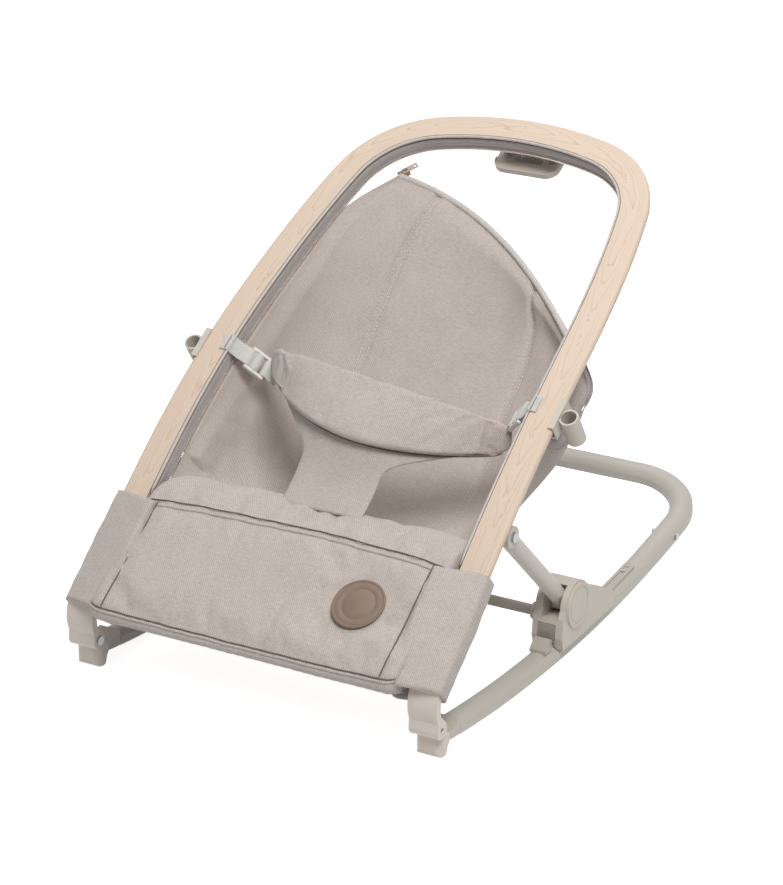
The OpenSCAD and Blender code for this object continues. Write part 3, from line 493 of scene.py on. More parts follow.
@dataclass(frozen=True)
class MapleBend:
    """Flat-sawn maple whose grain runs round the hoop, with cathedral figure on the legs."""

    name: str
    pale: Colour
    line: Colour
    hoop: "HoopLine"

    def across_and_along(self, s: Shade) -> tuple[Socket, Socket]:
        """The distance across the band and along it, in metres.

        Args:
            s: The material's node maker.

        Returns:
            The two distances.
        """
        h = self.hoop
        rad = math.radians
        lean = rad(h.recline)
        x = abs(s.place(0))
        start = h.corner_start() - vec(0, h.origin_y, 0)
        up = (s.place(1) - start[1] * MM) * math.cos(lean) + (s.place(2) - start[2] * MM) * math.sin(lean)
        # the tight corner
        mid_x = (h.top_half_w() - h.corner_r * math.sin(rad(h.top_half))) * MM
        mid_y = -h.corner_r * math.sin(rad(h.splay)) * MM
        dx, dy = x - mid_x, up - mid_y
        turn = dx.angle_from(dy)
        corner_a = (dx * dx + dy * dy).root() - h.corner_r * MM
        corner_l = turn * ((h.corner_r + 15) * MM)
        # the gentle top
        top_y = (h.corner_rise() - h.top_r * math.cos(rad(h.top_half))) * MM
        ty = up - top_y
        sweep = x.angle_from(ty)
        top_a = (x * x + ty * ty).root() - h.top_r * MM
        shift = (h.corner_r + 15) * rad(h.top_half) - (h.top_r + 15) * rad(h.top_half)
        top_l = sweep * ((h.top_r + 15) * MM) + shift * MM
        # the leg, flaring by its splay
        end = rad(90 - h.splay)
        leg_a = (x - (mid_x + h.corner_r * MM * math.sin(end))) * math.cos(rad(h.splay) * 0.6)
        leg_a = leg_a + (up - (mid_y + h.corner_r * MM * math.cos(end))) * 0.062
        leg_l = (h.corner_r + 15) * MM * end - (up - (mid_y + h.corner_r * MM * math.cos(end)))
        on_top = turn < rad(h.top_half)
        on_leg = turn > end

        def pick(leg: Socket, corner: Socket, top: Socket) -> Socket:
            """Chooses by region."""
            return on_leg * leg + on_top * top + (1 - on_leg - on_top) * corner

        return pick(leg_a, corner_a, top_a), pick(leg_l, corner_l, top_l)

    def make(self) -> bpy.types.Material:
        """Builds the material.

        Returns:
            The material.
        """
        s = Shade(self.name)
        across, along = self.across_and_along(s)
        side = s.place(0) > 0.0
        run = along + side * 1.7
        depth = s.place(2) * 0.35 - s.place(1) * 0.2
        drift = s.grain(s.vector(across * 7.0, run * 5.5, depth), 1.0, 2, 0.5)
        heart = s.grain(s.vector(run * 3.2, 0.0, 0.0), 1.0, 1, 0.4) - 0.5
        bow = across - 0.015 + heart * 0.04
        tremble = s.grain(s.vector(across * 160.0, run * 60.0, depth * 40.0), 1.0, 2, 0.5)
        rings = bow * bow * 17500.0 + run * 19.0 + drift * 6.5 + tremble * 1.1
        wave = rings.fraction()
        late = wave ** 11.0
        faint = s.grain(s.vector(across * 30.0, run * 9.0, depth), 1.0, 1, 0.5)
        fibre = s.grain(s.vector(across * 1400.0, run * 22.0, depth * 900.0), 1.0, 3, 0.6)
        fleck = s.grain(s.vector(across * 420.0, run * 9.0, depth * 300.0), 1.0, 2, 0.5)
        tone = s.blend(drift, darker(self.pale, 0.97), darker(self.pale, 1.03))
        tone = s.blend(late * faint * 1.25 + wave * 0.07, tone, self.line)
        tone = s.blend(fibre * 0.26, tone, darker(self.line, 1.04))
        s.set(
            Base_Color=tone,
            Roughness=0.5 + (fleck - 0.5) * 0.2,
            Specular_IOR_Level=0.35,
            Normal=s.bump(fibre * 0.7 + late * 0.4, 0.00006, 0.5),
        )
        return s.material


@dataclass(frozen=True)
class Leather:
    """Smooth stamped leather."""

    name: str
    colour: Colour

    def make(self) -> bpy.types.Material:
        """Builds the material.

        Returns:
            The material.
        """
        s = Shade(self.name)
        where = s.at()
        pores = s.node(
            "ShaderNodeTexVoronoi",
            {"feature": "DISTANCE_TO_EDGE"},
            {"Vector": where, "Scale": 1100.0},
        )
        cloud = s.grain(where, 90, 4, 0.6)
        s.set(
            Base_Color=s.blend(cloud, darker(self.colour, 0.8), darker(self.colour, 1.15)),
            Roughness=0.58 + (cloud - 0.5) * 0.2,
            Normal=s.bump(pores * 0.6 + cloud, 0.0001, 0.6),
        )
        return s.material


# ---------------------------------------------------------------- geometry helpers


def vec(*values: float) -> Point:
    """A point or direction as an array."""
    return np.array(values, float)


def unit(v: Point) -> Point:
    """The vector scaled to length 1."""
    length = float(np.linalg.norm(v))
    return v / length if length > TINY else v


def smooth_at(rows: Sequence[Sequence[float]], s: float) -> Point:
    """Smooth curve through points at equal steps.

    Args:
        rows: The points.
        s: Place from 0 to 1.

    Returns:
        The point there.
    """
    n = len(rows) - 1
    q = min(max(s, 0.0) * n, n - 1e-4)
    i = int(q)
    t = q - i
    a, b = vec(*rows[max(0, i - 1)]), vec(*rows[i])
    c, d = vec(*rows[i + 1]), vec(*rows[min(n, i + 2)])
    return b + 0.5 * t * ((c - a) + t * ((2 * a - 5 * b + 4 * c - d) + t * (3 * (b - c) + d - a)))


def closed_at(rows: Sequence[Sequence[float]], s: float) -> Point:
    """Smooth closed curve through points.

    Args:
        rows: The points.
        s: Place from 0 to 1.

    Returns:
        The point there.
    """
    n = len(rows)
    q = (s % 1.0) * n
    i = int(q)
    t = q - i
    a, b, c, d = (vec(*rows[(i + k) % n]) for k in (-1, 0, 1, 2))
    return b + 0.5 * t * ((c - a) + t * ((2 * a - 5 * b + 4 * c - d) + t * (3 * (b - c) + d - a)))


def ease(value: float, low: float, high: float) -> float:
    """Smooth step from 0 at low to 1 at high."""
    t = min(1.0, max(0.0, (value - low) / (high - low)))
    return t * t * (3 - 2 * t)


def ruffle(p: Point, size: float, seed: float = 0.0) -> float:
    """Soft noise from -1 to 1 with cells of a size in millimetres."""
    return float(noise.noise(Vector((p[0] / size + seed, p[1] / size, p[2] / size))))


class MeshWork:
    """Makes mesh objects from points in millimetres of the fitting frame."""

    def __init__(self, shift: float) -> None:
        """Keeps the shift to the row frame.

        Args:
            shift: How far back the row frame's origin lies, in millimetres.
        """
        self.shift = vec(0, shift, 0)

    def mesh(
        self,
        name: str,
        points: Iterable[Point],
        faces: Iterable[Sequence[int]],
        smooth: bool = True,
    ) -> bpy.types.Object:
        """One mesh object.

        Args:
            name: Its name.
            points: Its points in millimetres.
            faces: Its faces.
            smooth: Whether it shades smooth.

        Returns:
            The object.
        """
        data = bpy.data.meshes.new(name)
        data.from_pydata([tuple((p - self.shift) * MM) for p in points], [], [tuple(f) for f in faces])
        data.validate()
        data.update()
        for polygon in data.polygons:
            polygon.use_smooth = smooth
        made = bpy.data.objects.new(name, data)
        bpy.context.scene.collection.objects.link(made)
        return made

    def loft(
        self,
        name: str,
        rings: Sequence[Sequence[Point]],
        closed: bool = False,
        caps: bool = True,
        smooth: bool = True,
    ) -> bpy.types.Object:
        """A tube through closed rings.

        Args:
            name: The object's name.
            rings: Rings of equally many points.
            closed: Whether the last ring joins the first.
            caps: Whether open ends are closed.
            smooth: Whether it shades smooth.

        Returns:
            The object.
        """
        n, m = len(rings[0]), len(rings)
        faces = []
        for i in range(m if closed else m - 1):
            for j in range(n):
                a, b = i * n + j, i * n + (j + 1) % n
                c, d = ((i + 1) % m) * n + (j + 1) % n, ((i + 1) % m) * n + j
                faces.append((a, b, c, d))
        if caps and not closed:
            faces.append(tuple(range(n))[::-1])
            faces.append(tuple((m - 1) * n + j for j in range(n)))
        made = self.mesh(name, [p for r in rings for p in r], faces, smooth)
        self.outward(made)
        return made

    def outward(self, made: bpy.types.Object) -> None:
        """Turns every face outwards.

        Args:
            made: A closed mesh.
        """
        work = bmesh.new()
        work.from_mesh(made.data)
        bmesh.ops.recalc_face_normals(work, faces=work.faces)
        work.to_mesh(made.data)
        work.free()

    def cord(
        self, name: str, path: Sequence[Point], radius: float, closed: bool = False, sides: int = 10
    ) -> bpy.types.Object:
        """A round cord along a path.

        Args:
            name: The object's name.
            path: Its middle line.
            radius: Its radius.
            closed: Whether the path is a loop.
            sides: Points round it.

        Returns:
            The object.
        """
        rings = []
        n = len(path)
        side = None
        for i, p in enumerate(path):
            ahead = path[(i + 1) % n] if closed else path[min(n - 1, i + 1)]
            behind = path[(i - 1) % n] if closed else path[max(0, i - 1)]
            along = unit(ahead - behind)
            if side is None:
                side = unit(np.cross(along, vec(0.3, 0.2, 1.0)))
            side = unit(side - along * float(side @ along))
            up = np.cross(along, side)
            end = 0 if closed else min(i, n - 1 - i)
            r = radius * (0.55 if end == 0 and not closed else 1.0)
            rings.append(
                [
                    p + r * (math.cos(a) * side + math.sin(a) * up)
                    for a in (2 * math.pi * k / sides for k in range(sides))
                ]
            )
        return self.loft(name, rings, closed)

    def pillow(
        self,
        name: str,
        surface: Callable[[float, float], tuple[Point, Point, float, float]],
        across: int,
        along: int,
    ) -> bpy.types.Object:
        """A closed padded sheet about a surface.

        Args:
            name: The object's name.
            surface: Gives for u and v (0 to 1) the middle point, the face direction and the two
                half thicknesses.
            across: Cells along u.
            along: Cells along v.

        Returns:
            The object.
        """
        points: list[Point] = []
        for side in (1, -1):
            for j in range(along + 1):
                for i in range(across + 1):
                    middle, face, front, back = surface(i / across, j / along)
                    points.append(middle + face * (front if side == 1 else -back))
        half = (across + 1) * (along + 1)

        def at(i: int, j: int, side: int) -> int:
            """Index of a grid point."""
            return side * half + j * (across + 1) + i

        faces = []
        for j in range(along):
            for i in range(across):
                faces.append((at(i, j, 0), at(i + 1, j, 0), at(i + 1, j + 1, 0), at(i, j + 1, 0)))
                faces.append((at(i, j, 1), at(i, j + 1, 1), at(i + 1, j + 1, 1), at(i + 1, j, 1)))
        for i in range(across):
            faces.append((at(i, 0, 0), at(i, 0, 1), at(i + 1, 0, 1), at(i + 1, 0, 0)))
            faces.append((at(i, along, 0), at(i + 1, along, 0), at(i + 1, along, 1), at(i, along, 1)))
        for j in range(along):
            faces.append((at(0, j, 0), at(0, j + 1, 0), at(0, j + 1, 1), at(0, j, 1)))
            faces.append((at(across, j, 0), at(across, j, 1), at(across, j + 1, 1), at(across, j + 1, 0)))
        made = self.mesh(name, points, faces)
        self.outward(made)
        return made

    def stitches(
        self,
        name: str,
        path: Sequence[Point],
        faces: Sequence[Point],
        length: float = 2.4,
        pitch: float = 3.6,
        width: float = 0.8,
        lift: float = 0.25,
    ) -> bpy.types.Object:
        """A row of thread stitches lying on a surface.

        Args:
            name: The object's name.
            path: The seam's line.
            faces: The surface's direction at each point.
            length: One stitch's length.
            pitch: From stitch to stitch.
            width: The thread's width.
            lift: Height of the thread's middle over the line.

        Returns:
            The object.
        """
        lengths = [0.0]
        for a, b in zip(path[:-1], path[1:]):
            lengths.append(lengths[-1] + float(np.linalg.norm(b - a)))
        points: list[Point] = []
        polygons: list[tuple[int, ...]] = []
        count = int(lengths[-1] // pitch)
        for k in range(count):
            ends = []
            for d in (k * pitch, k * pitch + length):
                i = min(len(path) - 2, int(np.searchsorted(lengths, d, side="right")) - 1)
                t = (d - lengths[i]) / max(TINY, lengths[i + 1] - lengths[i])
                face = unit(faces[i] + (faces[i + 1] - faces[i]) * t)
                ends.append((path[i] + (path[i + 1] - path[i]) * t, face))
            (a, na), (b, nb) = ends
            along = unit(b - a)
            face = unit(na + nb)
            side = np.cross(along, face)
            base = len(points)
            for share, grow in ((0.0, 0.35), (0.25, 1.0), (0.75, 1.0), (1.0, 0.35)):
                middle = a + (b - a) * share + face * (lift * grow)
                for q in range(6):
                    angle = math.pi / 3 * q
                    points.append(
                        middle
                        + side * (width / 2 * grow * math.cos(angle))
                        + face * (width / 2.6 * grow * math.sin(angle))
                    )
            for ring in range(3):
                for q in range(6):
                    one = base + ring * 6 + q
                    two = base + ring * 6 + (q + 1) % 6
                    polygons.append((one, two, two + 6, one + 6))
            polygons.append(tuple(base + q for q in range(6))[::-1])
            polygons.append(tuple(base + 18 + q for q in range(6)))
        made = self.mesh(name, points, polygons)
        self.outward(made)
        return made

    def join(self, name: str, parts: Sequence[bpy.types.Object]) -> bpy.types.Object:
        """Joins objects into the first and names it.

        Args:
            name: The new name.
            parts: The objects.

        Returns:
            The joined object.
        """
        with bpy.context.temp_override(
            active_object=parts[0], selected_editable_objects=list(parts), selected_objects=list(parts)
        ):
            bpy.ops.object.join()
        parts[0].name = name
        parts[0].data.name = name
        return parts[0]


def wear(made: bpy.types.Object, material: bpy.types.Material) -> bpy.types.Object:
    """Gives an object one material.

    Args:
        made: The object.
        material: Its material.

    Returns:
        The same object.
    """
    made.data.materials.clear()
    made.data.materials.append(material)
    return made


def seat_piece(piece: bpy.types.Object, coat: bpy.types.Material) -> None:
    """Dresses a piece, puts it on the seat and reports it.

    Args:
        piece: The object.
        coat: Its material.
    """
    wear(piece, coat)
    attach(piece, "seat")
    LOG.info("built %s", piece.name)


def refine(made: bpy.types.Object, levels: int = 1) -> bpy.types.Object:
    """Subdivides smoothly and applies it.

    Args:
        made: The object.
        levels: How many times.

    Returns:
        The same object.
    """
    step = made.modifiers.new("refine", "SUBSURF")
    step.levels = levels
    step.render_levels = levels
    apply_steps(made)
    return made


def apply_steps(made: bpy.types.Object) -> None:
    """Applies every modifier by taking the evaluated mesh.

    Args:
        made: The object.
    """
    graph = bpy.context.evaluated_depsgraph_get()
    data = bpy.data.meshes.new_from_object(made.evaluated_get(graph))
    old = made.data
    made.modifiers.clear()
    made.data = data
    data.name = made.name
    bpy.data.meshes.remove(old)
    for polygon in data.polygons:
        polygon.use_smooth = True


def settle(
    made: bpy.types.Object,
    pressure: float,
    frames: int,
    held: Callable[[Vector], float],
    most: float,
    shrink: float = 0.0,
) -> bpy.types.Object:
    """Lets stuffed cloth swell and crease, then keeps the shape.

    Args:
        made: A closed mesh.
        pressure: Inner pressure.
        frames: Steps of the simulation.
        held: Gives how firmly a point is held, 0 to 1.
        most: Largest move of any point in metres.
        shrink: How much the cloth is cut small, as a share.

    Returns:
        The same object with its new shape.
    """
    rest = np.array([v.co for v in made.data.vertices], float)
    group = made.vertex_groups.new(name="held")
    for v in made.data.vertices:
        weight = held(v.co)
        if weight > 0:
            group.add([v.index], min(1.0, weight), "REPLACE")
    cloth = made.modifiers.new("cloth", "CLOTH")
    s = cloth.settings
    s.quality = 4
    s.mass = 0.2
    s.tension_stiffness = 18
    s.compression_stiffness = 18
    s.shear_stiffness = 8
    s.bending_stiffness = 0.35
    s.use_pressure = True
    s.uniform_pressure_force = pressure
    s.shrink_min = shrink
    s.vertex_group_mass = "held"
    s.pin_stiffness = 1.0
    s.effector_weights.gravity = 0.0
    cloth.collision_settings.use_collision = False
    cloth.point_cache.frame_start = 1
    cloth.point_cache.frame_end = frames
    scene = bpy.context.scene
    for frame in range(1, frames + 1):
        scene.frame_set(frame)
        bpy.context.view_layer.update()
    graph = bpy.context.evaluated_depsgraph_get()
    shaped = made.evaluated_get(graph)
    found = np.array([v.co for v in shaped.data.vertices], float)
    made.modifiers.clear()
    move = found - rest
    size = np.linalg.norm(move, axis=1, keepdims=True)
    move *= np.minimum(1.0, most / np.maximum(size, TINY))
    made.data.vertices.foreach_set("co", (rest + move).astype(np.float32).ravel())
    made.data.update()
    scene.frame_set(1)
    made.vertex_groups.clear()
    return made


# ---------------------------------------------------------------- the hoop's line


@dataclass(frozen=True)
class HoopLine:
    """The bent hoop's inner front edge, in millimetres of the fitting frame."""

    half_gauge: float = 194.0
    band_w: float = 30.0
    top_r: float = 340.0
    top_half: float = 15.5
    corner_r: float = 88.0
    splay: float = 11.0
    upper_leg: float = 187.0
    bend_r: float = 1150.0
    recline: float = 29.83
    slope: float = 41.0
    lower_leg: float = 153.0
    foot_y: float = -8.0
    foot_z: float = 76.0
    origin_y: float = 290.991
    leg_steps: int = 60
    corner_steps: int = 26
    top_steps: int = 14

    @staticmethod
    def along(angle: float) -> Point:
        """Side-view direction at an angle, as x, y, z."""
        return vec(0, math.cos(math.radians(angle)), math.sin(math.radians(angle)))

    @staticmethod
    def square_to(angle: float) -> Point:
        """Side-view direction square to an angle."""
        return vec(0, -math.sin(math.radians(angle)), math.cos(math.radians(angle)))

    def bend_l(self) -> float:
        """Length of the leg's bend."""
        return self.bend_r * math.radians(self.slope - self.recline)

    def leg_l(self) -> float:
        """Length of a leg up to the corner."""
        return self.lower_leg + self.bend_l() + self.upper_leg

    def top_half_w(self) -> float:
        """Half width of the gentle top."""
        return self.top_r * math.sin(math.radians(self.top_half))

    def corner_half_w(self) -> float:
        """Half width where the corner starts."""
        rad = math.radians
        return self.top_half_w() + self.corner_r * (math.cos(rad(self.splay)) - math.sin(rad(self.top_half)))

    def corner_rise(self) -> float:
        """Rise of the corner over the leg's end."""
        rad = math.radians
        return self.corner_r * (math.cos(rad(self.top_half)) - math.sin(rad(self.splay)))

    def leg_angle(self, up: float) -> float:
        """The leg's slope at a length from the foot.

        Args:
            up: Length from the foot.

        Returns:
            The slope in degrees.
        """
        if up < self.lower_leg:
            return self.slope
        if up < self.lower_leg + self.bend_l():
            return self.slope - math.degrees((up - self.lower_leg) / self.bend_r)
        return self.recline

    def leg_point(self, up: float, drop: float = 0.0) -> Point:
        """Side-view point of the leg's front at a length from the foot, a drop below it.

        Args:
            up: Length from the foot.
            drop: Distance below the front.

        Returns:
            The point, at x = 0.
        """
        angle = self.leg_angle(up)
        start = vec(0, self.foot_y, self.foot_z)
        if up < self.lower_leg:
            p = start + up * self.along(self.slope)
        else:
            bend = start + self.lower_leg * self.along(self.slope)
            s, a = math.radians(self.slope), math.radians(angle)
            p = bend + self.bend_r * vec(0, math.sin(s) - math.sin(a), math.cos(a) - math.cos(s))
            if up > self.lower_leg + self.bend_l():
                p = p + (up - self.lower_leg - self.bend_l()) * self.along(self.recline)
        return p - drop * self.square_to(angle)

    def leg_half_w(self, up: float) -> float:
        """Half width of the inner edge at a length from the foot.

        Args:
            up: Length from the foot.

        Returns:
            The half width.
        """
        foot = self.half_gauge - self.band_w / 2
        flare = foot - self.corner_half_w()
        return foot - flare * math.exp(-(self.leg_l() - up) * math.tan(math.radians(self.splay)) / flare)

    def corner_start(self) -> Point:
        """Side-view point where the corner starts."""
        return self.leg_point(self.leg_l())

    def half_path(self, legs: int, corners: int, tops: int) -> list[tuple[Point, float]]:
        """The inner edge from the middle of the top down the right leg, each with its slope.

        Args:
            legs: Steps on the leg.
            corners: Steps on the corner.
            tops: Steps on the top.

        Returns:
            Each point with its slope in degrees.
        """
        rad = math.radians
        start = self.corner_start()
        found: list[tuple[Point, float]] = []

        def upper(x: float, up: float) -> tuple[Point, float]:
            """A point of the flat upper part."""
            p = start + up * self.along(self.recline)
            return vec(x, p[1], p[2]), self.recline

        for i in range(tops):
            a = rad(self.top_half) * i / tops
            rise = self.top_r * (math.cos(a) - math.cos(rad(self.top_half))) + self.corner_rise()
            found.append(upper(self.top_r * math.sin(a), rise))
        for i in range(corners):
            a = rad(self.top_half) + rad(90 - self.splay - self.top_half) * i / corners
            x = self.top_half_w() + self.corner_r * (math.sin(a) - math.sin(rad(self.top_half)))
            found.append(upper(x, self.corner_r * (math.cos(a) - math.sin(rad(self.splay)))))
        for i in range(legs + 1):
            up = self.leg_l() * (1 - i / legs)
            p = self.leg_point(up)
            found.append((vec(self.leg_half_w(up), p[1], p[2]), self.leg_angle(up)))
        return found

    def frames(self, from_up: float) -> list[tuple[Point, Point, Point]]:
        """Stations along the whole inner edge, from the left leg over the top to the right leg.

        Args:
            from_up: The length from each foot where it starts and ends.

        Returns:
            For each station the point, the outward direction and the direction out of the front.
        """
        right = self.half_path(self.leg_steps, self.corner_steps, self.top_steps)
        foot_of_corner = self.corner_steps + self.top_steps
        keep = [
            q
            for k, q in enumerate(right)
            if k <= foot_of_corner or (1 - (k - foot_of_corner) / self.leg_steps) * self.leg_l() >= from_up
        ]
        left = [(vec(-p[0], p[1], p[2]), a) for p, a in keep[:0:-1]]
        path = left + keep
        found = []
        for i, (p, angle) in enumerate(path):
            ahead, behind = path[min(len(path) - 1, i + 1)][0], path[max(0, i - 1)][0]
            face = self.square_to(angle)
            out = unit(np.cross(ahead - behind, face))
            inside = vec(0, p[1] - 60, p[2] - 40) - p
            if float(out @ inside) > 0:
                out = -out
            found.append((p, out, face))
        return found


# ---------------------------------------------------------------- sub-assemblies


@dataclass
class Finishes:
    """Every material of the seat, made once."""

    hoop: HoopLine

    def __post_init__(self) -> None:
        """Makes the materials."""
        moulded = linear(205, 197, 186)
        self.tube = PowderCoat("pale_powder_coat", linear(192, 187, 177)).make()
        self.prop = PowderCoat("prop_powder_coat", linear(206, 200, 190)).make()
        self.crossbar = PowderCoat("taupe_powder_coat", linear(166, 158, 147)).make()
        self.moulding = Moulding("pale_moulding", moulded).make()
        self.dark = Moulding("button_moulding", linear(160, 153, 142), 0.55).make()
        self.elbow = Moulding("rosy_moulding", linear(219, 209, 198), 0.4, 0.00003).make()
        self.track = Moulding("track_moulding", linear(186, 180, 169), 0.5).make()
        self.buckle = Moulding("buckle_moulding", linear(232, 229, 223), 0.32, 0.00002).make()
        self.steel = Zinc("zinc_plate", (0.4, 0.42, 0.45), 0.38).make()
        self.rose = Zinc("warm_nickel", (0.72, 0.62, 0.54), 0.25).make()
        self.pull = Moulding("pull_enamel", linear(212, 196, 182), 0.3, 0.00001).make()
        self.wood = MapleBend("bent_maple", linear(226, 208, 189), linear(190, 158, 130), self.hoop).make()
        self.cloth = Cloth("greige_twill", linear(194, 184, 177)).make()
        self.lining = Cloth("binding_tape", linear(186, 178, 175), Weave.TAPE, 0.0014).make()
        self.zip_tape = Cloth("zip_tape", linear(176, 168, 168), Weave.TAPE, 0.0009).make()
        self.piping = Cloth("piping_twill", linear(208, 201, 195), Weave.TWILL, 0.0014).make()
        # painted shade: a dark cloth for the thin cords that stand in for the shadow in seam grooves and gaps
        self.seam = Cloth("seam_shadow", linear(118, 104, 96), Weave.TAPE, 0.0009).make()
        self.webbing = Cloth("herringbone_webbing", linear(205, 205, 198), Weave.HERRINGBONE, 0.0016).make()
        self.thread = Cloth("pale_thread", linear(224, 217, 209), Weave.TAPE, 0.0006).make()
        self.brown_thread = Cloth("brown_thread", linear(140, 116, 96), Weave.TAPE, 0.0006).make()
        self.leather = Leather("stamped_leather", linear(132, 113, 98)).make()


@dataclass
class HardParts:
    """Carried solids: their finishes by node."""

    nodes: dict[str, bpy.types.Object]
    finishes: Finishes

    def dress(self) -> None:
        """Gives every carried solid its material."""
        f = self.finishes
        table: dict[str, bpy.types.Material] = {
            "rail_tube": f.tube,
            "rear_u_tube": f.tube,
            "prop_tube": f.prop,
            "front_plug": f.tube,
            "foot": f.elbow,
            "elbow": f.elbow,
            "track_strip": f.track,
            "wooden_hoop": f.wood,
            "prop_bracket": f.moulding,
            "toy_bar_socket": f.moulding,
            "carry_handle": f.moulding,
            "slide_housing": f.moulding,
            "hinge_cover": f.moulding,
            "prop_head": f.moulding,
            "prop_foot": f.moulding,
            "crossbar_collars": f.moulding,
            "release_button": f.dark,
            "crossbar": f.crossbar,
            "buckle": f.buckle,
            "zip_slider": f.rose,
            "zip_pull": f.pull,
        }
        for name, node in self.nodes.items():
            base = name.removesuffix("_left").removesuffix("_right")
            wear(node, table.get(base, f.steel))
            LOG.info("dressed %s", name)


@dataclass
class HoopTrim:
    """The lining band inside the hoop: piping, tape, zip and its stitches."""

    work: MeshWork
    hoop: HoopLine
    finishes: Finishes
    from_up: float = 118.0
    gap: float = 0.5

    def line(self, inward: float, deep: float) -> tuple[list[Point], list[Point]]:
        """A line beside the hoop's inner edge.

        Args:
            inward: Distance in from the wood.
            deep: Distance below its front.

        Returns:
            The points and the directions inwards.
        """
        stations = self.hoop.frames(self.from_up)
        return (
            [p - out * inward - face * deep for p, out, face in stations],
            [-out for _, out, _ in stations],
        )

    def band(self, name: str, section: Sequence[tuple[float, float]]) -> bpy.types.Object:
        """A strip of constant section along the hoop's inside, each section point inward and deep.

        Args:
            name: The object's name.
            section: The section's points.

        Returns:
            The strip.
        """
        rings = [
            [p - out * a - face * d for a, d in section] for p, out, face in self.hoop.frames(self.from_up)
        ]
        return self.work.loft(name, rings)

    def teeth(self, name: str, inward: float, deep: float) -> bpy.types.Object:
        """The zip's row of teeth."""
        path, facing = self.line(inward, deep)
        return self.work.stitches(name, path, facing, 1.5, 2.1, 2.8, 0.5)

    def build(self) -> None:
        """Builds and dresses the trim."""
        f, g = self.finishes, self.gap
        tape = self.band(
            "lining_tape",
            [(g, 2.6), (g + 1.5, 3.0), (g + 1.9, 8.0), (g + 1.6, 14.6), (g + 1.0, 15.2), (g, 15.2), (g, 9.0)],
        )
        zip_tape = self.band(
            "zip_tape", [(g + 0.2, 14.9), (g + 1.3, 15.3), (g + 1.3, 20.0), (g + 0.9, 20.6), (g + 0.2, 20.6)]
        )
        path, _ = self.line(g + 1.4, 1.2)
        cord = self.work.cord("lining_piping", path, 1.6)
        # painted shadow: the thin dark cord at the wood and the dark welt cord stand in for the shade in the
        # gap and in the seam's crease
        path, _ = self.line(g + 0.1, 0.5)
        shade = self.work.cord("lining_shadow_line", path, 0.5)
        path, _ = self.line(g + 1.95, 3.6)
        welt = self.work.cord("lining_welt_shadow", path, 0.45)
        dark = self.work.join("lining_seam_shadows", [shade, welt])
        seam, facing = self.line(g + 1.9, 5.6)
        upper = self.work.stitches("upper_row", seam, facing, 1.9, 3.2, 0.7, 0.15)
        seam, facing = self.line(g + 1.7, 13.2)
        lower = self.work.stitches("lower_row", seam, facing, 1.9, 3.2, 0.7, 0.15)
        rows = self.work.join("lining_stitches", [upper, lower])
        teeth = self.teeth("zip_teeth", g + 1.4, 19.4)
        for piece, coat in (
            (tape, f.lining),
            (zip_tape, f.zip_tape),
            (cord, f.piping),
            (dark, f.seam),
            (rows, f.thread),
            (teeth, f.rose),
        ):
            seat_piece(piece, coat)
        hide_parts("hoop_lining")


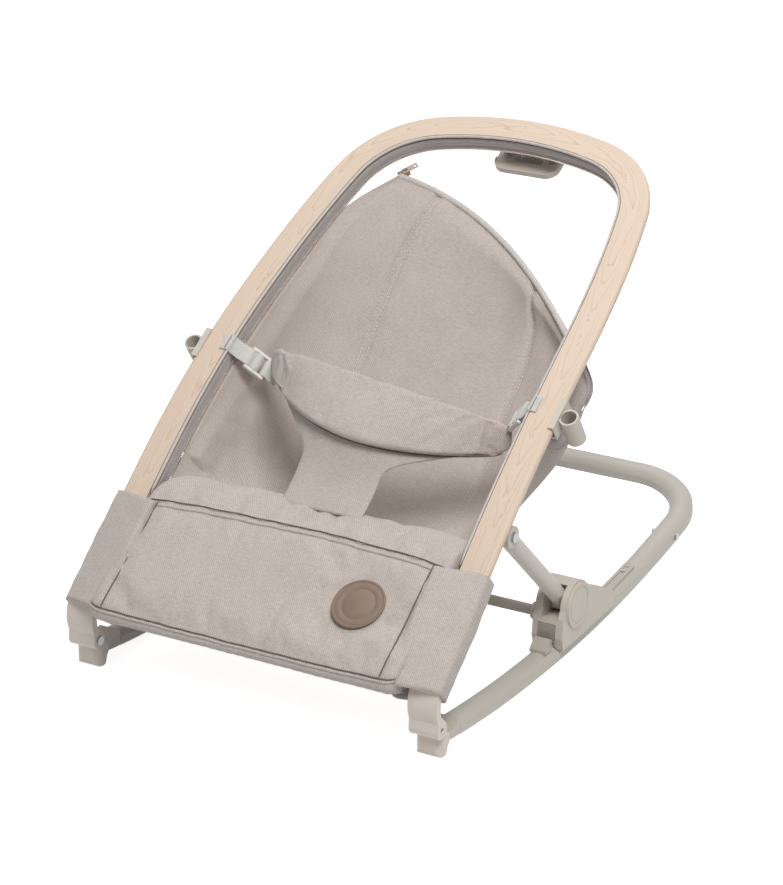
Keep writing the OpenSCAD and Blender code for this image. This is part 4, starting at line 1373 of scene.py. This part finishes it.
@dataclass
class SeatCloth:
    """The padded seat shell, hung in the hoop and zipped to it up the left side."""

    work: MeshWork
    hoop: HoopLine
    finishes: Finishes
    rim_in: float = 1.6
    rim_drop: float = 21.9
    slack_from: float = 0.5
    padding: float = 9.6
    across: int = 150
    along: int = 150
    fold_keep: float = 0.3
    _rows: list[tuple[tuple[float, float, float], ...]] = field(default_factory=list)

    def rim(self, side: int, up: float) -> tuple[float, float, float]:
        """The zipped edge at a length up a leg."""
        p = self.hoop.leg_point(up, self.rim_drop)
        return side * (self.hoop.leg_half_w(up) - self.rim_in), p[1], p[2]

    def rows(self) -> list[tuple[tuple[float, float, float], ...]]:
        """Left edge, lowest point and right edge from the front to the top.

        Returns:
            The rows.
        """
        return [
            (self.rim(-1, 185), (0, 168, 106), self.rim(1, 185)),
            (self.rim(-1, 235), (0, 200, 92), self.rim(1, 235)),
            (self.rim(-1, 300), (0, 250, 100), self.rim(1, 285)),
            (self.rim(-1, 380), (0, 312, 150), (184, 264, 224)),
            (self.rim(-1, 460), (0, 378, 217), (188, 302, 240)),
            (self.rim(-1, 530), (0, 440, 290), (182, 338, 256)),
            ((-128, 492, 386), (0, 478, 345), (152, 362, 284)),
        ]

    def hammock(self, u: float, v: float) -> Point:
        """Point of the cloth at u across (-1 to 1) and v from front to top.

        Args:
            u: Place across, -1 to 1.
            v: Place from the front up, 0 to 1.

        Returns:
            The point.
        """
        rows = self._rows
        left = smooth_at([r[0] for r in rows], v)
        low = smooth_at([r[1] for r in rows], v)
        right = smooth_at([r[2] for r in rows], v)
        rim = left if u < 0 else right
        q = abs(u) ** 2.6
        deep = vec(
            rim[0] * math.sin(math.radians(90 * abs(u))),
            low[1] + (rim[1] - low[1]) * q,
            low[2] + (rim[2] - low[2]) * q,
        )
        slack = low + (right - left) / 2 * u + ((right + left) / 2 - low) * u * u
        share = ease(v, self.slack_from, 1.0)
        return deep * (1 - share) + slack * share

    def face(self, u: float, v: float) -> Point:
        """Direction towards the sitter.

        Args:
            u: Place across, -1 to 1.
            v: Place from the front up, 0 to 1.

        Returns:
            The direction.
        """
        a = self.hammock(u, min(1.0, v + 0.01)) - self.hammock(u, max(0.0, v - 0.01))
        b = self.hammock(min(1.0, u + 0.01), v) - self.hammock(max(-1.0, u - 0.01), v)
        return unit(np.cross(b, a))

    def seam(self, side: int, v: float) -> float:
        """Place across of the centre panel's seam."""
        climb = max(0.0, v - 0.62)
        return -0.42 - 0.47 * climb if side < 0 else 0.3 + 0.55 * climb

    def front(self, u: float, v: float) -> float:
        """Padding in front of the middle surface.

        Args:
            u: Place across, -1 to 1.
            v: Place from the front up, 0 to 1.

        Returns:
            The thickness.
        """
        edge = min(1 - abs(u), (1 - v) * 1.2, v * 1.6 + 0.02)
        t = self.padding * (0.22 + 0.78 * ease(edge, 0.0, 0.09))
        p = self.hammock(u, v)
        if v > 0.34:
            fade = ease(v, 0.34, 0.42)
            for side in (-1, 1):
                away = abs(u - self.seam(side, v)) * 170
                t -= fade * 3.6 * math.exp(-((away / 4.2) ** 2))
                t += fade * 1.0 * math.exp(-(((away - 14) / 10) ** 2))
        t += 1.7 * ruffle(p, 70, 3.0) * ease(edge, 0.0, 0.1)
        t += 0.9 * ruffle(vec(p[0] * 1.4, p[1] * 0.5, p[2] * 0.5), 26, 8.0) * ease(edge, 0.0, 0.05)
        low = 1 - ease(v, 0.25, 0.55)
        t += 1.6 * low * ruffle(vec(p[0] * 0.5, p[1] * 1.6, p[2] * 1.6), 30, 5.0) * ease(edge, 0.0, 0.1)
        return max(1.2, t)

    def gusset(self, side: int, name: str) -> bpy.types.Object:
        """Cloth that closes the corner between the zip, the seat and the bolster.

        Args:
            side: -1 or 1.
            name: The object's name.

        Returns:
            The object.
        """

        def surface(i: float, j: float) -> tuple[Point, Point, float, float]:
            """The gusset's middle and half thicknesses.

            Args:
                i: Place across, 0 to 1.
                j: Place along, 0 to 1.

            Returns:
                The middle point, the face direction and the two half thicknesses.
            """
            outer = vec(*self.rim(side, 104 + 96 * j)) - vec(side * 1.0, 0, 0)
            corner = self.hammock(side * (1 - 0.75 * i), 0.03)
            low = vec(side * (172 - 70 * i), 118 - 14 * i, 128 - 18 * i)
            p = low + (corner - low) * j
            p = p + (outer - p) * (1 - i) ** 1.5
            crease = ruffle(vec(p[0], p[1] * 0.5, p[2] * 0.5), 20, 4.0 + side)
            return p + vec(-side * 0.7, 0, 0.7) * crease, unit(vec(-side, -0.3, 0.8)), 1.3, 1.3

        return self.work.pillow(name, surface, 30, 26)

    def build(self) -> None:
        """Builds and dresses the seat's cloth."""
        f = self.finishes
        self._rows = self.rows()

        def surface(i: float, j: float) -> tuple[Point, Point, float, float]:
            """The pillow's middle and half thicknesses.

            Args:
                i: Place across, 0 to 1.
                j: Place along, 0 to 1.

            Returns:
                The middle point, the face direction and the two half thicknesses.
            """
            u, v = 2 * i - 1, j
            p = self.hammock(u, v)
            back = 1.5 + 0.7 * ruffle(p, 45, 12.0)
            return p, self.face(u, v), self.front(u, v), max(0.8, back)

        shell = self.work.pillow("seat_cloth", surface, self.across, self.along)
        parts: list[tuple[bpy.types.Object, bpy.types.Material]] = []
        rows = []
        for side in (-1, 1):
            for beside in (-0.016, 0.016):
                places = [0.36 + 0.62 * k / 120 for k in range(121)]
                uv = [(self.seam(side, v) + beside, v) for v in places]
                path = [self.hammock(u, v) + self.face(u, v) * (self.front(u, v) + 0.1) for u, v in uv]
                rows.append(
                    self.work.stitches("row", path, [self.face(u, v) for u, v in uv], 2.6, 4.2, 0.9, 0.2)
                )
        parts.append((self.work.join("backrest_stitches", rows), f.thread))
        top = [self.hammock(u, 1.0) + self.face(u, 0.99) * 2.2 for u in (k / 60 - 1 for k in range(121))]
        parts.append((self.work.cord("top_piping", top, 3.3), f.piping))
        heights = [0.42 + 0.58 * k / 80 for k in range(81)]
        edge = [self.hammock(1.0, v) + self.face(0.985, v) for v in heights]
        parts.append((self.work.cord("rim_piping", edge, 1.7), f.zip_tape))
        tape_rings = []
        for v in heights:
            p, n = self.hammock(1.0, v), self.face(0.985, v)
            inward = unit(self.hammock(0.96, v) - p)
            tape_rings.append(
                [
                    p - n * 1.6 + inward * a + n * h
                    for a, h in ((-3.5, -0.9), (13, -0.9), (13, -1.9), (-3.5, -1.9))
                ]
            )
        parts.append((self.work.loft("rim_zip_tape", tape_rings), f.zip_tape))
        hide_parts("seat_shell", "seat_liner")
        for side, name in ((-1, "left"), (1, "right")):
            corner = self.gusset(side, f"side_gusset_{name}")
            parts.append((corner, f.cloth))
        anchor = self.hoop.leg_point(self.hoop.leg_l(), 20.0) - self.work.shift
        flat_way = tuple(self.hoop.square_to(self.hoop.recline))
        for piece, coat in [(shell, f.cloth), *parts]:
            seat_piece(piece, coat)
            tuple(anchor * MM)
            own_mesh(piece)


@dataclass
class FrontBolster:
    """The padded front of the seat with its leg sleeves and the round patch.

    A place round the section runs from 0 to 1; its ninths are the rows of `middle` and `side`.
    """

    work: MeshWork
    hoop: HoopLine
    finishes: Finishes
    half_w: float = 173.4
    sleeve_l: float = 117.0
    patch_x: float = 99.0
    patch_r: float = 27.0
    underside: float = 80.0
    core: tuple[float, float] = (65.0, 112.0)
    top_seam: float = 2.0 / 9
    hem: float = 0.0
    under_seam: float = 8.0 / 9
    patch_at: Point = field(default_factory=lambda: vec(0, 0, 0))
    middle: tuple[tuple[float, float], ...] = (
        (-27, 73), (28, 112), (83, 151), (110, 160), (140, 157), (156, 140), (138, 110), (60, 76), (-8, 60),
    )
    side: tuple[tuple[float, float], ...] = (
        (-34, 80), (14, 116), (64, 153), (95, 165), (135, 157), (150, 141), (132, 114), (60, 72), (-16, 62),
    )

    def ring_point(self, x: float, s: float) -> Point:
        """Point of the bolster's skin at x and a place s round its section.

        Args:
            x: Place across.
            s: Place round the section.

        Returns:
            The point.
        """
        q = (x / self.half_w) ** 2
        rows = [
            (a * (1 - q) + c * q, b * (1 - q) + d * q) for (a, b), (c, d) in zip(self.middle, self.side)
        ]
        p = closed_at(rows, s)
        return vec(x, p[0], p[1])

    def skin(self, x: float, s: float) -> Point:
        """Skin point with its ends rounded in and soft hollows.

        Args:
            x: Place across.
            s: Place round the section.

        Returns:
            The point.
        """
        p = self.ring_point(x, s)
        centre = vec(x, *self.core)
        end = max(0.0, (abs(x) - self.half_w + 16) / 16)
        p = centre + (p - centre) * (1 - 0.055 * end**2.5)
        out = unit(p - centre)
        soft = 1 - ease(abs(x), self.half_w - 22, self.half_w - 2)
        if s < 2.4 / 9:
            soft *= ease(float(np.linalg.norm(p - self.patch_at)), self.patch_r, self.patch_r + 22)
        n = 2.0 * ruffle(p, 80, 1.0) + 0.9 * ruffle(vec(p[0] * 1.8, p[1] * 0.7, p[2] * 0.7), 34, 4.0)
        if s > 7.5 / 9:
            n *= 0.4
        return p + out * (n * soft)

    def round_body(self) -> bpy.types.Object:
        """The stuffed body.

        Returns:
            The body.
        """
        count, steps = 96, 84
        rings = [
            [self.skin(self.half_w * (2 * i / steps - 1), k / count) for k in range(count)]
            for i in range(steps + 1)
        ]
        body = self.work.loft("bolster_cushion", rings)
        seams = (self.top_seam, self.hem, self.under_seam)
        lines = [[self.ring_point(self.half_w * (2 * i / 40 - 1), s) for i in range(41)] for s in seams]
        seam_points = np.array([p - self.work.shift for line in lines for p in line]) * MM
        patch_at = (self.patch_at - self.work.shift) * MM

        def held(co: Vector) -> float:
            """Firm at the seams and the ends.

            Args:
                co: A point in metres.

            Returns:
                How firmly it is held, 0 to 1.
            """
            if abs(co.x) > (self.half_w - 6) * MM:
                return 1.0
            if co.z < self.underside * MM:
                return 0.8
            if float(np.linalg.norm(patch_at - np.array(co))) < (self.patch_r + 6) * MM:
                return 1.0
            d = float(np.min(np.linalg.norm(seam_points - np.array(co), axis=1)))
            return 1.0 if d < 0.006 else 0.06

        return settle(body, 3.5, 20, held, 0.006, -0.03)

    def piping_line(self, s: float, lift: float) -> list[Point]:
        """A seam line across the front.

        Args:
            s: Place round the section.
            lift: Height over the skin.

        Returns:
            The line.
        """
        found = []
        for i in range(81):
            x = (self.half_w - 1.0) * (2 * i / 80 - 1)
            p = self.skin(x, s)
            found.append(p + unit(p - vec(x, *self.core)) * lift)
        return found

    def sleeve(self, side: int) -> bpy.types.Object:
        """Cloth wrapped round one leg's front end.

        Args:
            side: -1 or 1.

        Returns:
            The sleeve.
        """
        inside, lap, edge_r = 15.9, 15.0, 5.0
        below, above, wall, swell = 16.0, 2.5, 2.2, 11.5
        far = self.hoop.leg_half_w(self.sleeve_l) + self.hoop.band_w / 2

        def station(y: float, grow: float, seed: float) -> list[Point]:
            """One ring round the leg, in the leg's own frame.

            Args:
                y: Length up the leg.
                grow: Distance out from the leg.
                seed: Which creases it has.

            Returns:
                The ring.
            """
            mid = self.hoop.half_gauge + (far - self.hoop.half_gauge) * y / self.sleeve_l
            x0 = self.half_w - lap + (wall - grow)
            x1 = mid + inside + grow
            z0, z1 = -below - grow, above + grow
            r = edge_r
            found = []
            corners = (
                (x1 - r, z1 - r, 90, 0),
                (x1 - r, z0 + r, 0, -90),
                (x0 + r, z0 + r, -90, -180),
                (x0 + r, z1 + swell - r, 180, 90),
            )
            for cx, cz, a0, a1 in corners:
                for k in range(7):
                    a = math.radians(a0 + (a1 - a0) * k / 6)
                    found.append(vec(cx + r * math.cos(a), 0, cz + r * math.sin(a)))
            dense: list[Point] = []
            for k, p in enumerate(found):
                q = found[(k + 1) % len(found)]
                gap = float(np.linalg.norm(q - p))
                pieces = 8 if gap > 4 else 1
                dense.extend(p + (q - p) * (t / pieces) for t in range(pieces))
            rest = []
            base = self.hoop.leg_point(0)
            for p in dense:
                fold = 0.9 * ruffle(vec(p[0] * 0.6, y * 1.2, p[2]), 22, seed) * ease(y, 0, 10)
                out = unit(vec(p[0] - (x0 + x1) / 2, 0, (p[2] - (z0 + z1) / 2) * 2))
                sway = 1.6 * math.sin(math.pi * min(1.0, max(0.0, y / self.sleeve_l)))
                q = p + out * (fold + sway * 0.4)
                inner = ease(x1 - p[0], 4.0, x1 - x0)
                y_here = y - 7.0 * inner
                slope = self.hoop.slope
                world = base + y_here * self.hoop.along(slope) + q[2] * self.hoop.square_to(slope)
                rest.append(vec(side * q[0], world[1], world[2]))
            return rest

        ys = [-9.0 + (self.sleeve_l + 8.0) * k / 32 for k in range(33)]
        outer = [station(y, wall, 2.0 + side) for y in ys]
        inner = [station(y, 0.3, 2.0 + side) for y in reversed(ys)]
        return self.work.loft("leg_sleeve", outer + inner, closed=True)

    def patch_axes(self) -> tuple[Point, Point, Point]:
        """The patch's directions to the right, up and out of the bolster.

        Returns:
            The three directions.
        """
        up = unit(self.ring_point(self.patch_x, 1.4 / 9) - self.ring_point(self.patch_x, 0.3 / 9))
        right = vec(1, 0, 0)
        return right, up, unit(np.cross(right, up))

    def patch(self) -> tuple[bpy.types.Object, bpy.types.Object]:
        """The stamped patch and the stitches at its edge.

        Returns:
            The patch and its thread.
        """
        here = self.patch_at
        right, up, face = self.patch_axes()
        profile = (
            (0.02, 1.3), (0.60, 1.3), (0.615, 0.9), (0.64, 0.9), (0.655, 1.35), (0.86, 1.35), (0.875, 1.0),
            (0.90, 1.0), (0.915, 1.5), (0.975, 1.45), (1.0, 1.0), (1.0, 0.0),
        )
        rings = []
        for share, height in profile:
            rings.append(
                [
                    here
                    + self.patch_r * share * (math.cos(a) * right + math.sin(a) * up)
                    + face * height
                    for a in (2 * math.pi * k / 96 for k in range(96))
                ]
            )
        disc = self.work.loft("stamped_patch", rings)
        loop = [
            here + self.patch_r * 0.945 * (math.cos(a) * right + math.sin(a) * up) + face * 1.5
            for a in (2 * math.pi * k / 120 for k in range(121))
        ]
        thread = self.work.stitches("patch_stitches", loop, [face] * 121, 1.9, 3.1, 0.6, 0.1)
        return disc, thread

    def patch_seat(self) -> Point:
        """Where the patch's back lies.

        Returns:
            The point.
        """
        low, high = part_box("round_patch")
        centre = (np.array(low) + np.array(high)) / 2 / MM + self.work.shift
        return centre - self.patch_axes()[2] * 0.7

    def build(self) -> None:
        """Builds and dresses the bolster."""
        f = self.finishes
        self.patch_at = self.patch_seat()
        body = self.round_body()
        refine(body)
        wear(body, f.cloth)
        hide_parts("front_bolster")
        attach(body, "seat")
        LOG.info("built %s", body.name)
        top = self.work.cord("top_seam_piping", self.piping_line(self.top_seam, 0.5), 1.5)
        hem = self.work.cord("hem_piping", self.piping_line(self.hem, 0.4), 1.3)
        back = self.work.cord("under_seam_piping", self.piping_line(self.under_seam, 0.4), 1.2)
        # painted shade: thin dark cords along the top seam, the hem and the end seams stand in for the shadow
        # in their grooves
        seams = [
            self.work.cord("seam", self.piping_line(2.14 / 9, 0.9), 0.7),
            self.work.cord("seam", self.piping_line(0.09 / 9, 0.9), 0.7),
        ]
        for side in (-1, 1):
            edge = [self.skin(side * (self.half_w - 17), (2.1 - 2.0 * k / 40) / 9) for k in range(41)]
            seams.append(self.work.cord("seam", [p + vec(0, -1.5, 2.0) for p in edge], 0.75))
        line = self.work.join("seam_shadow_lines", seams)
        for cord, coat in ((top, f.cloth), (hem, f.cloth), (back, f.cloth), (line, f.seam)):
            seat_piece(cord, coat)
        for side, name in ((-1, "left"), (1, "right")):
            sleeve = self.sleeve(side)
            sleeve.name = f"sleeve_cloth_{name}"
            wear(sleeve, f.cloth)
            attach(sleeve, "seat")
            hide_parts(f"leg_sleeve_{name}")
            LOG.info("built %s", sleeve.name)
        disc, thread = self.patch()
        seat_piece(disc, f.leather)
        seat_piece(thread, f.brown_thread)
        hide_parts("round_patch")


@dataclass
class WaistBelt:
    """The padded belt and the crotch piece that holds it."""

    work: MeshWork
    finishes: Finishes
    half_w: float = 141.5
    middle_x: float = 1.5
    thick: float = 8.0

    def point(self, u: float, v: float) -> Point:
        """Belt surface at u across (-1 to 1) and v from the lower edge up.

        Args:
            u: Place across, -1 to 1.
            v: Place from the lower edge up, 0 to 1.

        Returns:
            The point.
        """
        upper = vec(0, 218 - 6 * u + 38 * u * u, 268 - 14 * u - 20 * u * u)
        lower = vec(0, 168 - 4.5 * u + 83.5 * u * u, 222 - 16.5 * u - 0.5 * u * u)
        narrow = 1 - 0.42 * max(0.0, (abs(u) - 0.9) / 0.1) ** 2
        p = lower + (upper - lower) * (0.56 + (v - 0.56) * narrow)
        return vec(self.middle_x + self.half_w * u, p[1], p[2])

    def face(self, u: float, v: float) -> Point:
        """Direction out of the belt's front.

        Args:
            u: Place across, -1 to 1.
            v: Place from the lower edge up, 0 to 1.

        Returns:
            The direction.
        """
        a = self.point(u, v + 0.01) - self.point(u, v - 0.01)
        b = self.point(u + 0.01, v) - self.point(u - 0.01, v)
        return unit(np.cross(b, a))

    def belt(self) -> bpy.types.Object:
        """The belt's stuffed body.

        Returns:
            The belt.
        """

        def surface(i: float, j: float) -> tuple[Point, Point, float, float]:
            """The pillow's middle and half thicknesses.

            Args:
                i: Place across, 0 to 1.
                j: Place along, 0 to 1.

            Returns:
                The middle point, the face direction and the two half thicknesses.
            """
            u, v = 2 * i - 1, j
            edge = min(j, 1 - j) * 2
            ends = min(i, 1 - i) * 2
            round_off = math.sqrt(max(0.0, 1 - (1 - min(1.0, edge * 3.2)) ** 2))
            t = 0.9 + (self.thick / 2 + 1.2) * round_off * (0.25 + 0.75 * ease(ends, 0.0, 0.2))
            p = self.point(u, v)
            t += 0.9 * ruffle(vec(p[0], p[1] * 0.5, p[2] * 0.5), 22, 6.0) * round_off
            sag = 2.4 * ruffle(vec(p[0], 0, 0), 60, 9.0)
            return p + vec(0, 0, sag * (0.3 + 0.7 * (1 - abs(u)))), self.face(u, v), t, t

        made = self.work.pillow("belt_pad", surface, 110, 26)

        def held(co: Vector) -> float:
            """Firm at the ends."""
            return 1.0 if abs(co.x - self.middle_x * MM) > (self.half_w - 10) * MM else 0.12

        return settle(made, 3.0, 16, held, 0.0045, -0.02)

    def crotch_point(self, u: float, v: float) -> Point:
        """Crotch piece at u across and v from the bolster up, flaring into wings behind the belt.

        Args:
            u: Place across, -1 to 1.
            v: Place from the bolster up, 0 to 1.

        Returns:
            The point.
        """
        flare = max(0.0, (v - 0.5) / 0.5) ** 2.6
        half = 46 + 2 * v + (self.half_w - 54) * flare
        x = half * u - 3 * (1 - flare) + self.middle_x * flare
        place = (x - self.middle_x) / self.half_w
        edge = self.point(place, 0.1) - self.face(place, 0.1) * 7.0
        rise = min(1.0, v) ** 0.8
        start = vec(x, 125, 157.8)
        bow = 6.0 * math.sin(math.pi * rise)
        return start + (edge - start) * rise + vec(0, bow * 0.6, -bow)

    def crotch(self) -> bpy.types.Object:
        """The crotch piece's thin pad.

        Returns:
            The pad.
        """

        def surface(i: float, j: float) -> tuple[Point, Point, float, float]:
            """The pillow's middle and half thicknesses.

            Args:
                i: Place across, 0 to 1.
                j: Place along, 0 to 1.

            Returns:
                The middle point, the face direction and the two half thicknesses.
            """
            u, v = 2 * i - 1, j
            a = self.crotch_point(u, min(1.0, v + 0.01)) - self.crotch_point(u, max(0.0, v - 0.01))
            b = self.crotch_point(min(1.0, u + 0.02), v) - self.crotch_point(max(-1.0, u - 0.02), v)
            face = unit(np.cross(b, a))
            edge = min(i, 1 - i) * 2
            round_off = math.sqrt(max(0.0, 1 - (1 - min(1.0, edge * 6)) ** 2))
            p = self.crotch_point(u, v)
            crease = ruffle(vec(p[0] * 0.8, p[1] * 0.4, p[2] * 0.4), 17, 2.0) * 0.8
            t = 0.6 + 1.5 * round_off
            return p + face * (crease * round_off), face, t, t

        return self.work.pillow("crotch_pad", surface, 60, 40)

    def build(self) -> None:
        """Builds and dresses the belt."""
        f = self.finishes
        belt = self.belt()
        refine(belt)
        crotch = self.crotch()
        refine(crotch)
        lower = [self.point(2 * k / 100 - 1, 0.03) for k in range(101)]
        binding = self.work.cord("belt_binding", [p + vec(0, -0.5, -0.6) for p in lower[3:-3]], 1.6)
        uv = [(2 * k / 120 - 1, 0.13) for k in range(6, 115)]
        path = [self.point(u, v) + self.face(u, v) * 5.6 for u, v in uv]
        thread = self.work.stitches("belt_stitches", path, [self.face(u, v) for u, v in uv], 2.4, 4.0, 0.8, 0.1)
        for piece, node in ((belt, "waist_belt"), (crotch, "crotch_piece")):
            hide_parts(node)
        # painted shadow: a thin dark cord under the belt's lower edge stands in for the shade beneath it
        under = [self.point(2 * k / 100 - 1, 0.0) - self.face(2 * k / 100 - 1, 0.1) * 2.0 for k in range(2, 99)]
        shade = self.work.cord("belt_seam_shadow", [p + vec(0, 0.6, -1.6) for p in under], 0.7)
        coats = ((belt, f.cloth), (crotch, f.cloth), (binding, f.cloth), (thread, f.thread), (shade, f.seam))
        for piece, coat in coats:
            seat_piece(piece, coat)


@dataclass
class LegStrap:
    """Webbing from one leg to the belt, through its adjuster buckle."""

    work: MeshWork
    hoop: HoopLine
    finishes: Finishes
    side: int
    up: float = 308.0
    width: float = 19.4
    thick: float = 0.85
    tail_angle: float = 50.0
    inset: float = 2.3

    def place(self, x: float, y: float, z: float) -> Point:
        """Leg frame to the fitting frame.

        Args:
            x: Distance from the middle.
            y: Length along the leg.
            z: Height over its front.

        Returns:
            The point.
        """
        angle = self.hoop.leg_angle(self.up)
        p = self.hoop.leg_point(self.up) + y * self.hoop.along(angle) + z * self.hoop.square_to(angle)
        return vec(self.side * x, p[1], p[2])

    def ribbon(self, name: str, path: Sequence[tuple[float, float]]) -> bpy.types.Object:
        """A flat strap along a path in the leg's cross section.

        Args:
            name: The object's name.
            path: Points across and out of the leg.

        Returns:
            The object.
        """
        line = [np.array(p, float) for p in path]
        for _ in range(3):
            cut = [line[0]]
            for a, b in zip(line[:-1], line[1:]):
                cut += [a * 0.75 + b * 0.25, a * 0.25 + b * 0.75]
            line = cut + [line[-1]]
        rings = []
        w, t = self.width / 2, self.thick / 2
        upper = ((-w, t * 0.5), (-w + 0.7, t), (0, t), (w - 0.7, t), (w, t * 0.5))
        shape = upper + tuple((a, -b) for a, b in reversed(upper))
        for i, p in enumerate(line):
            ahead, behind = line[min(len(line) - 1, i + 1)], line[max(0, i - 1)]
            d = (ahead - behind) / max(TINY, float(np.linalg.norm(ahead - behind)))
            n = np.array([-d[1], d[0]])
            rings.append([self.place(p[0] + n[0] * h, y, p[1] + n[1] * h) for y, h in shape])
        return self.work.loft(name, rings)

    def tail(self, t: float, lift: float) -> tuple[float, float]:
        """Point of the tail at a length from the leg, lifted off its middle.

        Args:
            t: Length from the leg.
            lift: Height over the tail's middle.

        Returns:
            The point.
        """
        c, s = math.cos(math.radians(self.tail_angle)), math.sin(math.radians(self.tail_angle))
        x = self.hoop.leg_half_w(self.up) - self.inset - 1.6
        return x - t * c - lift * s, -5 - t * s + lift * c

    def build(self) -> None:
        """Builds and dresses the strap."""
        f = self.finishes
        name = "left" if self.side < 0 else "right"
        edge = self.hoop.leg_half_w(self.up) - self.inset
        strap = self.ribbon(
            f"strap_webbing_{name}",
            [
                (edge + 8.6, 1.25), (edge + 2.0, 1.3), (edge - 0.9, 1.2), (edge - 1.1, -3.0),
                self.tail(3, 0.8), self.tail(15, 0.9), self.tail(19.8, 4.0), self.tail(25.1, 1.4),
                self.tail(30.4, 4.3), self.tail(35.2, 0.6), self.tail(31.5, -2.4), self.tail(22.5, -2.6),
            ],
        )
        tab = self.ribbon(
            f"belt_tab_{name}",
            [
                self.tail(47, -1.4), self.tail(38.6, -2.2), self.tail(37.2, 0.8), self.tail(39.4, 4.0),
                self.tail(43.6, 3.6), self.tail(48, 1.6), self.tail(57.5, 0.8),
            ],
        )
        across = [
            self.place(edge + 2.6, -self.width / 2 + 1 + k * (self.width - 2) / 12, 2.15) for k in range(13)
        ]
        out = self.hoop.square_to(self.hoop.leg_angle(self.up))
        row = self.work.stitches(f"strap_stitches_{name}", across, [out] * 13, 1.7, 2.1, 1.1, 0.1)
        for piece, coat in ((strap, f.webbing), (tab, f.webbing), (row, f.brown_thread)):
            seat_piece(piece, coat)
        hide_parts(f"strap_{name}")


@dataclass
class Studio:
    """Camera, lights, floor and world."""

    camera_at: tuple[float, float, float] = (1.4272, -2.48169, 1.3021)
    look_down: float = 21.5
    azimuth: float = 30.226
    lens: float = 122.53
    key: float = 62.0
    fill: float = 9.0
    top: float = 24.0
    sky: float = 0.13
    floor_half: float = 9.0
    floor_drop: float = 0.0006

    def lamp(self, name: str, at: tuple[float, float, float], size: float, power: float) -> bpy.types.Object:
        """A square area lamp aimed at the seat.

        Args:
            name: The lamp's name.
            at: Where it stands.
            size: Its width.
            power: Its power.

        Returns:
            The lamp.
        """
        data = bpy.data.lights.new(name, "AREA")
        data.size = size
        data.energy = power
        made = bpy.data.objects.new(name, data)
        made.location = at
        made.rotation_euler = (Vector((0, 0, 0.2)) - Vector(at)).to_track_quat("-Z", "Y").to_euler()
        bpy.context.scene.collection.objects.link(made)
        return made

    def white_to_camera(self, s: Shade, level: float) -> Socket:
        """A level that only camera, glossy and transmitted rays see.

        Args:
            s: The material's node maker.
            level: The level.

        Returns:
            The level as a socket.
        """
        seen = s.node("ShaderNodeLightPath", out="Is Camera Ray")
        glossy = s.node("ShaderNodeLightPath", out="Is Glossy Ray")
        through = s.node("ShaderNodeLightPath", out="Is Transmission Ray")
        return s.node(
            "ShaderNodeMath", {"operation": "MINIMUM"}, {0: seen + glossy + through, 1: 1.0}
        ) * level

    def build(self) -> None:
        """Builds the studio in order."""
        self.camera()
        stage = [
            self.lamp("key_lamp", (1.3, -1.2, 2.6), 1.2, self.key),
            self.lamp("fill_lamp", (-2.3, -1.6, 1.5), 2.0, self.fill),
            self.lamp("top_lamp", (-0.3, 0.9, 2.6), 1.8, self.top),
        ]
        self.floor()
        self.world()

    def camera(self) -> None:
        """Sets the camera."""
        scene = bpy.context.scene
        data = bpy.data.cameras.new("camera")
        data.lens = self.lens
        data.sensor_width = 36
        data.clip_end = 30
        camera = bpy.data.objects.new("camera", data)
        camera.location = self.camera_at
        camera.rotation_euler = (math.radians(90 - self.look_down), 0, math.radians(self.azimuth))
        scene.collection.objects.link(camera)
        scene.camera = camera

    def floor(self) -> bpy.types.Object:
        """The white floor, just under the feet.

        Returns:
            The floor.
        """
        mesh = bpy.data.meshes.new("floor")
        r = self.floor_half
        mesh.from_pydata([(-r, -r, 0), (r, -r, 0), (r, r, 0), (-r, r, 0)], [], [(0, 1, 2, 3)])
        floor = bpy.data.objects.new("floor", mesh)
        floor.location.z = -self.floor_drop
        bpy.context.scene.collection.objects.link(floor)
        s = Shade("white_floor")
        dust = s.grain(s.at(), 60, 2, 0.5)
        level = self.white_to_camera(s, 0.86)
        s.set(
            Base_Color=s.blend(dust, (0.78, 0.78, 0.78), (0.81, 0.81, 0.81)),
            Roughness=0.9,
            Emission_Color=s.vector(level, level, level),
            Emission_Strength=1.0,
            Specular_IOR_Level=0.1,
        )
        return wear(floor, s.material)

    def world(self) -> None:
        """A white world to the eye that lights the seat only faintly."""
        world = bpy.data.worlds.new("white_world")
        world.use_nodes = True
        tree = world.node_tree
        back = tree.nodes["Background"]
        path = tree.nodes.new("ShaderNodeLightPath")
        most = tree.nodes.new("ShaderNodeMath")
        most.operation = "MAXIMUM"
        tree.links.new(path.outputs["Is Camera Ray"], most.inputs[0])
        tree.links.new(path.outputs["Is Glossy Ray"], most.inputs[1])
        level_node = tree.nodes.new("ShaderNodeMath")
        level_node.operation = "MAXIMUM"
        tree.links.new(most.outputs[0], level_node.inputs[0])
        level_node.inputs[1].default_value = self.sky
        back.inputs["Color"].default_value = (1, 1, 1, 1)
        tree.links.new(level_node.outputs[0], back.inputs["Strength"])
        bpy.context.scene.world = world
        bpy.context.scene.view_settings.view_transform = "Standard"


def main() -> None:
    """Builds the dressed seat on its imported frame."""
    logging.basicConfig(level=logging.INFO, format="%(name)s: %(message)s")
    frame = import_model()
    hoop = HoopLine()
    work = MeshWork(hoop.origin_y)
    finishes = Finishes(hoop)
    HardParts(frame["nodes"], finishes).dress()
    HoopTrim(work, hoop, finishes).build()
    SeatCloth(work, hoop, finishes).build()
    FrontBolster(work, hoop, finishes).build()
    WaistBelt(work, finishes).build()
    for side in (-1, 1):
        LegStrap(work, hoop, finishes, side).build()
    Studio().build()


if __name__ == "__main__":
    main()
